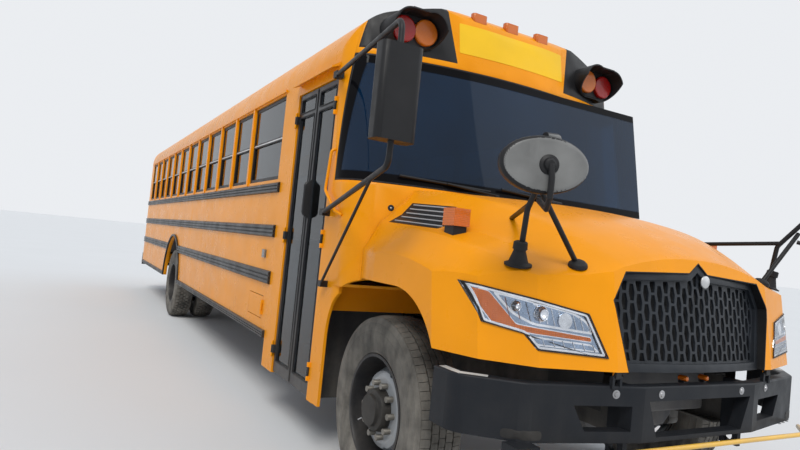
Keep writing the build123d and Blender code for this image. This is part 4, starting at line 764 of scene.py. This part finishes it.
latch = Shape()
washer = [(-0.002, 0.020), (0.002, 0.020), (0.004, 0.017), (0.004, 0.011), (0.001, 0.010)]
for side in (-1, 1):
    seat, normal = touch("cowl_panel", at(side * 0.984, -0.6, 1.631), to_back)
    latch.turned(washer, seat, normal, 24)
    latch.dome(seat, normal, 0.008, 0.004, 12, 1)
latch.done("hood_latch_rings", "root", "trim_black", plastic_black, steel)

# Grille: the insect screen that follows its back, and the moulding round it

screen = Shape()
gap, thick = 0.0015, 0.003
rings = []
for k in range(-23, 24):
    x = 0.024 * k
    past_shoulder = max(0.0, abs(x) - 0.495)
    foot, top = 0.952 + past_shoulder * 4.3, 1.386 - past_shoulder * 1.6
    low, high = (touch("grille", at(x, -0.4, z), to_front)[0].y + gap for z in (foot + 0.006, top - 0.004))
    rings.append([(x, low, foot), (x, high, top), (x, high + thick, top), (x, low + thick, foot)])
screen.form(rings)
screen.done("grille_insect_screen", "hood", "trim_black", rubber)

# The moulding fills the hood's opening in front of the recessed ends of the grille
corners = [Vector(p) for p in ((0.510, 0.944), (0.583, 1.258), (0.501, 1.389), (0.070, 1.410), (0.0, 1.463))]
corners += [Vector((-p.x, p.y)) for p in reversed(corners[:-1])]
rim = []
for here, after in zip(corners, corners[1:]):
    parts = int((after - here).length / 0.03) + 1
    rim += [here.lerp(after, k / parts) for k in range(parts)]
rim.append(corners[-1])
surround = Shape()
rings = []
for lip, outer, inner, seat in zip(*(inset(rim, amount) for amount in (-0.004, 0.0006, 0.005, 0.007))):
    front = touch("hood", stand_off(*lip, to_back, 2), to_back)[0].y - 0.0015
    back = max(touch("grille", stand_off(*seat, to_back, 2), to_back)[0].y + 0.001, front + 0.004)
    rings.append([(u, y, v) for (u, v), y in ((outer, front), (outer, back), (inner, back), (inner, front))])
surround.form(rings)
surround.done("grille_surround", "hood", "trim_black", plastic_black)

# Splash shields between the front wheels and the engine, in (y, z), shaped to the hood and the cowl

shield_x, shield_thick = 0.50, 0.004
front, foot, apron_back, apron_foot = -0.90, 0.955, -0.600, 0.740
under_cowl = 1.105
heights = [1.2 + 0.06 * k for k in range(8)]
backs = [touch("cowl_panel", at(shield_x, -0.3, z), to_back)[0].y - axle_y - 0.012 for z in heights]
outline = [(front - 0.05, foot), (front - 0.05, apron_foot), (apron_back, apron_foot), (apron_back, foot),
           (0.47, foot), (0.47, under_cowl), (backs[0], under_cowl), *zip(backs, heights)]
last = backs[-1] - 0.02
for y in [last + (front - last) * k / 19 for k in range(20)]:
    outline.append((y, touch("hood", at(shield_x, y, foot), -down)[0].z - 0.025))
shields = Shape()
shields.form([[at(x, y, z) for y, z in outline] for x in (shield_x, shield_x + shield_thick)])
shields.mirror()
shields.done("engine_splash_shields", "root", "trim_black", plastic_black)

# A plain round cap on the grille

cap = Shape()
seat = touch("grille", at(0, -2, 1.385), to_back)[0] + to_back * 0.002
button = [(-0.006, 0.030), (0.002, 0.032), (0.006, 0.030), (0.009, 0.020), (0.010, 0.0)]
cap.turned(button, seat, to_front, 40)
cap.done("grille_round_cap", "hood", "trim_black", aluminium)

# Bumper: bolt heads, step tape, two dark slots and the two small lamps on its top

bumper = Shape()
bolt = [(-0.001, 0.019), (0.002, 0.019), (0.003, 0.015), (0.003, 0.012), (0.007, 0.010), (0.009, 0.0)]
corner_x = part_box("front_bumper")[1].x
for side in (-1, 1):
    for u in (0.558, 0.30):
        bumper.turned(bolt, *touch("front_bumper", at(side * u, -2, 0.852), to_back), 24, 1)
    for u in (1.14, 1.08, 1.02):
        bumper.dome(*touch("front_bumper", at(side * u, -2, 0.500), to_back), 0.011, 0.006, 10, 1)
    # The tape follows the bumper's outline in plan: along its end and round its corner
    edges = []
    for drawn in (0.012, 0.050):
        end = [(corner_x - drawn, y) for y in (-0.650, -0.685, -0.720, -0.755)]
        slope = [(corner_x - (corner_x - 0.980) * t - 0.656 * drawn, -0.790 - 0.200 * t + 0.755 * drawn)
                 for t in (0.05, 0.15, 0.25, 0.35, 0.45)]
        edges.append([at(side * x, y, 3) for x, y in end + slope])
    bumper.strap("front_bumper", edges, down, 0.0012, 0.002, 2)
    ring = rounded(rect(side * 1.055, side * 0.900, 0.650, 0.690), 0.019)
    bumper.plate("front_bumper", ring, to_back, 0.0015, 0.003, 3, pitch=0.01)
bumper.done("front_bumper_bolts", "root", "trim_black", plastic_black, steel, tread_tape, rubber)

markers = Shape()
bulb = [(-0.024, 0.0), (-0.024, 0.012), (-0.020, 0.014), (0.012, 0.014), (0.020, 0.010), (0.022, 0.0)]
for x in (-0.076, 0.076):
    seat = touch("front_bumper", at(x, -1.04, 3), down)[0]
    markers.block(seat + Vector((-0.012, -0.010, -0.002)), seat + Vector((0.012, 0.020, 0.010)), 1)
    markers.turned(bulb, seat - down * 0.020, to_front, 24)
markers.done("bumper_marker_lamps", "root", "lamp_lens", amber, plastic_black)

# Rear-view mirrors: glass set in the back of each housing

mirrors = Shape()
for x, start in ((-1.475, -0.370), (1.475, 1.120)):
    for low, high in ((1.886, 2.010), (2.026, 2.296)):
        ring = rounded(rect(x - 0.088, x + 0.088, low, high), 0.02)
        mirrors.plate("rearview_mirrors", ring, to_front, 0.0015, 0.004, 1, start=start)
        mirrors.band("rearview_mirrors", ring, inset(ring, 0.004), to_front, 0.003, 0.004, 0, start=start)
mirrors.done("rearview_mirror_glass", "root", "mirror_black", plastic_black, mirror_glass)

# Entrance: a gasket round each pane, and a rubber strip on each meeting edge

for leaf in ("door_leaf_front", "door_leaf_rear"):
    seal = Shape()
    low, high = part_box(leaf)
    for _, pane_low, pane_high in solids(leaf):
        if pane_high.x - pane_low.x <= pane:
            ring = rounded(rect(pane_low.y - axle_y - 0.002, pane_high.y - axle_y + 0.002,
                                pane_low.z - 0.002, pane_high.z + 0.002), 0.012)
            seal.band(leaf, inset(ring, -0.010), ring, to_left, 0.0025, 0.005)
    meeting = high.y - 0.004 if leaf == "door_leaf_front" else low.y + 0.004
    seal.tube([touch(leaf, (-2, meeting, z), to_left)[0] for z in (0.36, 1.0, 1.7, 2.48)], 0.0035, 8)
    seal.done(leaf.replace("leaf", "seal"), leaf, "trim_black", rubber)

# Side windows: a bright strip on each sash's middle rail, and rivets along the panels

strips = Shape()
for _, low, high in solids("window_frames"):
    if high.y - low.y > 0.3 and high.x - low.x < 0.12 and abs(low.x + high.x) > 2.0:
        face = high.x if low.x > 0 else low.x
        strips.block((face - 0.002, low.y + 0.03, 2.206), (face + 0.002, high.y - 0.03, 2.218))
strips.done("window_rail_strips", "root", "trim_black", aluminium, bevel=0.0008)

rivets = Shape()
rivet_pitch, rivet_radius, rivet_height = 0.095, 0.0065, 0.0028
for side, name in sides:
    first = 0.95 if side > 0 else 1.75
    # Two rows along the windows that may sit a little proud, then upright rows on the flat of the panels
    rows = [(first + rivet_pitch * k, z, far) for z in (1.880, 2.450)
            for k in range(int((10.7 - first) / rivet_pitch) + 1)]
    rows += [(2.2 + 1.397 * j, 0.60 + 0.09 * k, 0.004) for j in range(7) for k in range(14)]
    for y, z, proud in rows:
        place, normal = touch(name + "_side_wall", at(side * 2, y, z), to_left * -side)
        if -0.004 < abs(place.x) - half_width < proud:
            rivets.dome(place, normal, rivet_radius, rivet_height, 6)
rivets.done("body_rivets", "root", "body_yellow", yellow)

# Roof: riveted seams over the bows

seams = Shape()
seam_half = 0.02
for y in [1.05 + 0.735 * k for k in range(14)]:
    edges = [[at(x / 10, edge, 4) for x in range(-11, 12)] for edge in (y - seam_half, y + seam_half)]
    seams.strap("roof_shell", edges, down, 0.0018, 0.003)
    for x in [-1.05 + 0.15 * j for j in range(15)]:
        place, normal = touch("roof_shell", at(x, y, 4), down)
        seams.dome(place + normal * 0.0015, normal, 0.007, 0.003, 6)
seams.done("roof_seams", "root", "roof_white", white)

# Stop arm: a white border and two lamps on the sign

stop = Shape()
stop_y, stop_z = 1.668, 1.540
corner_reach = 0.2285 / cos(pi / 8)
eight = [(stop_y + corner_reach * cos(pi / 8 + k * pi / 4), stop_z + corner_reach * sin(pi / 8 + k * pi / 4))
         for k in range(8)]
stop.band("stop_arm", inset(eight, 0.006), inset(eight, 0.020), -to_left, 0.001, 0.002, 0, start=1.6)
for z in (stop_z + 0.165, stop_z - 0.165):
    seat = touch("stop_arm", at(1.6, stop_y, z), -to_left)[0]
    stop.turned([(-0.001, 0.046), (0.006, 0.046), (0.008, 0.042), (0.008, 0.038)], seat, to_left, 32, 1)
    stop.turned([(0.004, 0.038), (0.012, 0.034), (0.018, 0.020), (0.020, 0.0)], seat, to_left, 32, 2)
stop.done("stop_arm_trim", "stop_arm", "sign_red", sign_white, plastic_black, red)

# Back of the body: reflective tape round the emergency door

tape = Shape()
ring = rect(-0.545, 0.545, 1.045, 2.640)
tape.band("rear_wall", ring, inset(ring, 0.026), to_front, 0.001, 0.002, start=13.0)
tape.done("emergency_door_tape", "root", "body_yellow", tape_yellow)

# Front wheels: a valve stem through each disc

for side, name in sides:
    wheel = "front_wheel_" + name
    stem = Shape()
    place = touch(wheel, at(side * 2, 0.155, axle_z - 0.090), to_left * -side)[0]
    line = [place + Vector((side * x, y, -y)) for x, y in ((-0.02, 0), (0.035, 0), (0.05, 0.012))]
    stem.tube(line, [0.005, 0.005, 0.004], 8)
    stem.done("valve_stem_" + name, wheel, "wheel_steel", steel)


# Seats: pads blown up by cloth simulation, their welts and their frames


def swollen(name, size, swell):
    scene = bpy.context.scene
    box = Shape()
    box.block(-Vector(size) / 2, Vector(size) / 2)
    mesh = bpy.data.meshes.new(name)
    box.mesh.to_mesh(mesh)
    box.mesh.free()
    piece = bpy.data.objects.new(name, mesh)
    scene.collection.objects.link(piece)
    remesh = piece.modifiers.new("remesh", "REMESH")
    remesh.mode = "VOXEL"
    remesh.voxel_size = 0.026
    fine = bpy.data.meshes.new_from_object(piece.evaluated_get(bpy.context.evaluated_depsgraph_get()))
    piece.modifiers.clear()
    piece.data = fine
    start = [vert.co.copy() for vert in fine.vertices]
    faces = [tuple(face.vertices) for face in fine.polygons]
    cloth = piece.modifiers.new("cloth", "CLOTH")
    cloth.settings.use_pressure = True
    cloth.settings.uniform_pressure_force = 4
    cloth.settings.effector_weights.gravity = 0
    for step in range(1, 21):
        scene.frame_set(step)
    blown = piece.evaluated_get(bpy.context.evaluated_depsgraph_get())
    moved = [vert.co.copy() for vert in blown.data.vertices]
    scene.frame_set(1)
    points = []
    for before, after in zip(start, moved):
        shift = after - before
        points.append(before + shift * min(1.0, swell / max(shift.length, 1e-6)))
    bpy.data.objects.remove(piece)
    return points, faces


def welt(pad, size, thin):
    """The line of a pad's piped seam, round its edge across the thin axis."""
    tree = BVHTree.FromPolygons(*pad)
    wide, deep = [axis for axis in range(3) if axis != thin]
    beyond = 1.3
    line = []
    for u, v in rounded(rect(-size[wide] / 2, size[wide] / 2, -size[deep] / 2, size[deep] / 2), 0.04, 5):
        spot = Vector((0, 0, 0))
        spot[wide], spot[deep] = u * beyond, v * beyond
        line.append(tree.ray_cast(spot, -spot)[0] or spot / beyond)
    return line + line[:1]


bench_size = (0.955, 0.362, 0.095)
rest_size = (0.955, 0.052, 0.575)
bench_pad = swollen("bench_pad", bench_size, 0.014)
rest_pad = swollen("rest_pad", rest_size, 0.012)
bench = (bench_pad, welt(bench_pad, bench_size, 2))
rest = (rest_pad, welt(rest_pad, rest_size, 1))
cushions, rests, frames = Shape(), Shape(), Shape()


def lay(shape, padding, place, turn=Matrix.Identity(3), scale=(1, 1, 1)):
    """Puts a pad and its welt in a seat."""
    (points, faces), line = padding

    def put(point):
        return place + turn @ Vector(a * b for a, b in zip(point, scale))

    made = [shape.mesh.verts.new(put(point)) for point in points]
    for face in faces:
        shape.face([made[i] for i in face])
    shape.tube([put(point) for point in line], 0.0035, 6, 1)


floor_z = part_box("seats")[0].z
bench_lean = Matrix.Rotation(radians(-7.5), 3, "X")
rail_z = floor_z + 0.298
for _, low, high in solids("seats"):
    x = (low.x + high.x) / 2
    front = low.y
    if high.x - low.x > 0.9:
        # A passengers' bench: two legs on the aisle side, two cross rails, and a bracket on the wall side
        lay(cushions, bench, Vector((x, front + 0.195, floor_z + 0.365)))
        lay(rests, rest, Vector((x, front + 0.429, floor_z + 0.706)), bench_lean)
        aisle = -1 if x > 0 else 1
        leg_x = x + aisle * 0.435
        for y in (front + 0.09, front + 0.33):
            frames.tube([(leg_x, y, floor_z + 0.004), (leg_x, y, floor_z + 0.296)], 0.014, 10)
        frames.block((leg_x - 0.020, front + 0.06, floor_z), (leg_x + 0.020, front + 0.36, floor_z + 0.006))
        for y in (front + 0.05, front + 0.36):
            frames.tube([(x - 0.46, y, rail_z), (x + 0.46, y, rail_z)], 0.011, 8)
        frames.block((x - aisle * 0.475, front + 0.05, floor_z + 0.286),
                     (x - aisle * 0.495, front + 0.36, floor_z + 0.306))
    else:
        # The driver's seat, on a pedestal
        lay(cushions, bench, Vector((x, front + 0.235, floor_z + 0.395)), scale=(0.50, 1.18, 1.0))
        back_height = high.z - floor_z - 0.47
        lay(rests, rest, Vector((x, high.y - 0.056, floor_z + 0.47 + back_height / 2)),
            scale=(0.50, 1.25, back_height / (rest_size[2] + 0.03)))
        frames.block((x - 0.13, front + 0.10, floor_z), (x + 0.13, front + 0.37, floor_z + 0.06))
        frames.tube([(x, front + 0.235, floor_z + 0.05), (x, front + 0.235, floor_z + 0.34)], 0.06, 20)
for shape, name in ((cushions, "seat_cushions"), (rests, "seat_backs")):
    shape.done(name, "root", "seat_vinyl", vinyl, rubber, angle=75, replaces=("seats",))
frames.done("seat_frames", "root", "seat_vinyl", steel, bevel=0.001, replaces=("seats",))

# Cab: instrument dials with their needles, and a row of switches

cab = Shape()
for k, size in enumerate((0.045, 0.060, 0.060, 0.045)):
    seat, normal = touch("dashboard", at(0.37 + 0.13 * k, 1.15, 1.555), to_front)
    bezel = ((-0.002, 1), (0.010, 1), (0.012, 0.94), (0.008, 0.9), (0.003, 0.88), (0.003, 0.0))
    cab.turned([(a, r * size) for a, r in bezel], seat, normal, 28)
    pin = seat + normal * 0.006
    cab.tube([pin, pin + Vector((0.4 * size, 0, 0.5 * size))], 0.0012, 6, 1)
for k in range(8):
    seat, normal = touch("dashboard", at(-0.10 + 0.045 * k, 1.15, 1.48), to_front)
    cab.block(seat + Vector((-0.014, -0.002, -0.02)), seat + Vector((0.014, 0.010, 0.02)))
cab.done("dashboard_dials", "root", "dash_grey", plastic_black, strip_amber, bevel=0.001)


# Floor, light and camera

scene = bpy.context.scene
scene.view_settings.view_transform = "Standard"

floor_mesh = bpy.data.meshes.new("studio_floor")
reach = 400.0
floor_mesh.from_pydata([(-reach, -reach, 0), (reach, -reach, 0), (reach, reach, 0), (-reach, reach, 0)], [],
                       [(0, 1, 2, 3)])
floor = bpy.data.objects.new("studio_floor", floor_mesh)
scene.collection.objects.link(floor)
floor.location.z = -0.002
ground = Finish("studio_floor", (0.72, 0.73, 0.74), 0.9)
ground.set("Base Color", ground.blend(ground.noise(0.4, 2.0), ground.shade(0.97), ground.shade(1.02)))
floor_mesh.materials.append(ground.material)

# The world lights the bus with one colour, and shows another to the camera, to metal and through glass
world = bpy.data.worlds.new("studio")
scene.world = world
world.use_nodes = True
tree = world.node_tree
lit = tree.nodes["Background"]
seen = tree.nodes.new("ShaderNodeBackground")
for background, colour, strength in ((lit, (0.80, 0.86, 0.95, 1), 0.60), (seen, (0.83, 0.85, 0.88, 1), 1.0)):
    background.inputs["Color"].default_value = colour
    background.inputs["Strength"].default_value = strength
rays = tree.nodes.new("ShaderNodeLightPath")
gathered = rays.outputs["Is Camera Ray"]
for kind in ("Is Glossy Ray", "Is Transmission Ray"):
    either = tree.nodes.new("ShaderNodeMath")
    either.operation = "MAXIMUM"
    tree.links.new(gathered, either.inputs[0])
    tree.links.new(rays.outputs[kind], either.inputs[1])
    gathered = either.outputs[0]
choose = tree.nodes.new("ShaderNodeMixShader")
tree.links.new(gathered, choose.inputs["Fac"])
tree.links.new(lit.outputs[0], choose.inputs[1])
tree.links.new(seen.outputs[0], choose.inputs[2])
tree.links.new(choose.outputs[0], tree.nodes["World Output"].inputs["Surface"])


def sun(name, towards, strength, softness, colour):
    """A broad distant lamp that shines along a direction."""
    light = bpy.data.lights.new(name, "SUN")
    light.energy = strength
    light.angle = radians(softness)
    light.color = colour
    lamp = bpy.data.objects.new(name, light)
    lamp.rotation_euler = Vector(towards).to_track_quat("-Z", "Y").to_euler()
    scene.collection.objects.link(lamp)


sun("key_light", (0.55, 0.75, -1.0), 1.85, 25, (1.0, 0.98, 0.94))
sun("fill_light", (-0.9, 0.5, -0.7), 0.5, 60, (0.92, 0.96, 1.0))

# The camera, fitted to the photograph: its place, its three angles and its focal length in pixels
place = at(-2.727, -2.933, 1.398)
yaw, pitch, roll = radians(28.77), radians(2.05), radians(5.67)
focal_pixels, frame_width = 607.8, 800
forward = Vector((sin(yaw) * cos(pitch), cos(yaw) * cos(pitch), sin(pitch)))
level = Vector((cos(yaw), -sin(yaw), 0))
upright = level.cross(forward)
right = level * cos(roll) + upright * sin(roll)
up = upright * cos(roll) - level * sin(roll)
camera_data = bpy.data.cameras.new("camera")
camera_data.sensor_width = 36
camera_data.lens = camera_data.sensor_width * focal_pixels / frame_width
camera_data.clip_end = 1000
camera = bpy.data.objects.new("camera", camera_data)
camera.matrix_world = Matrix.Translation(place) @ Matrix((right, up, -forward)).transposed().to_4x4()
scene.collection.objects.link(camera)
scene.camera = camera
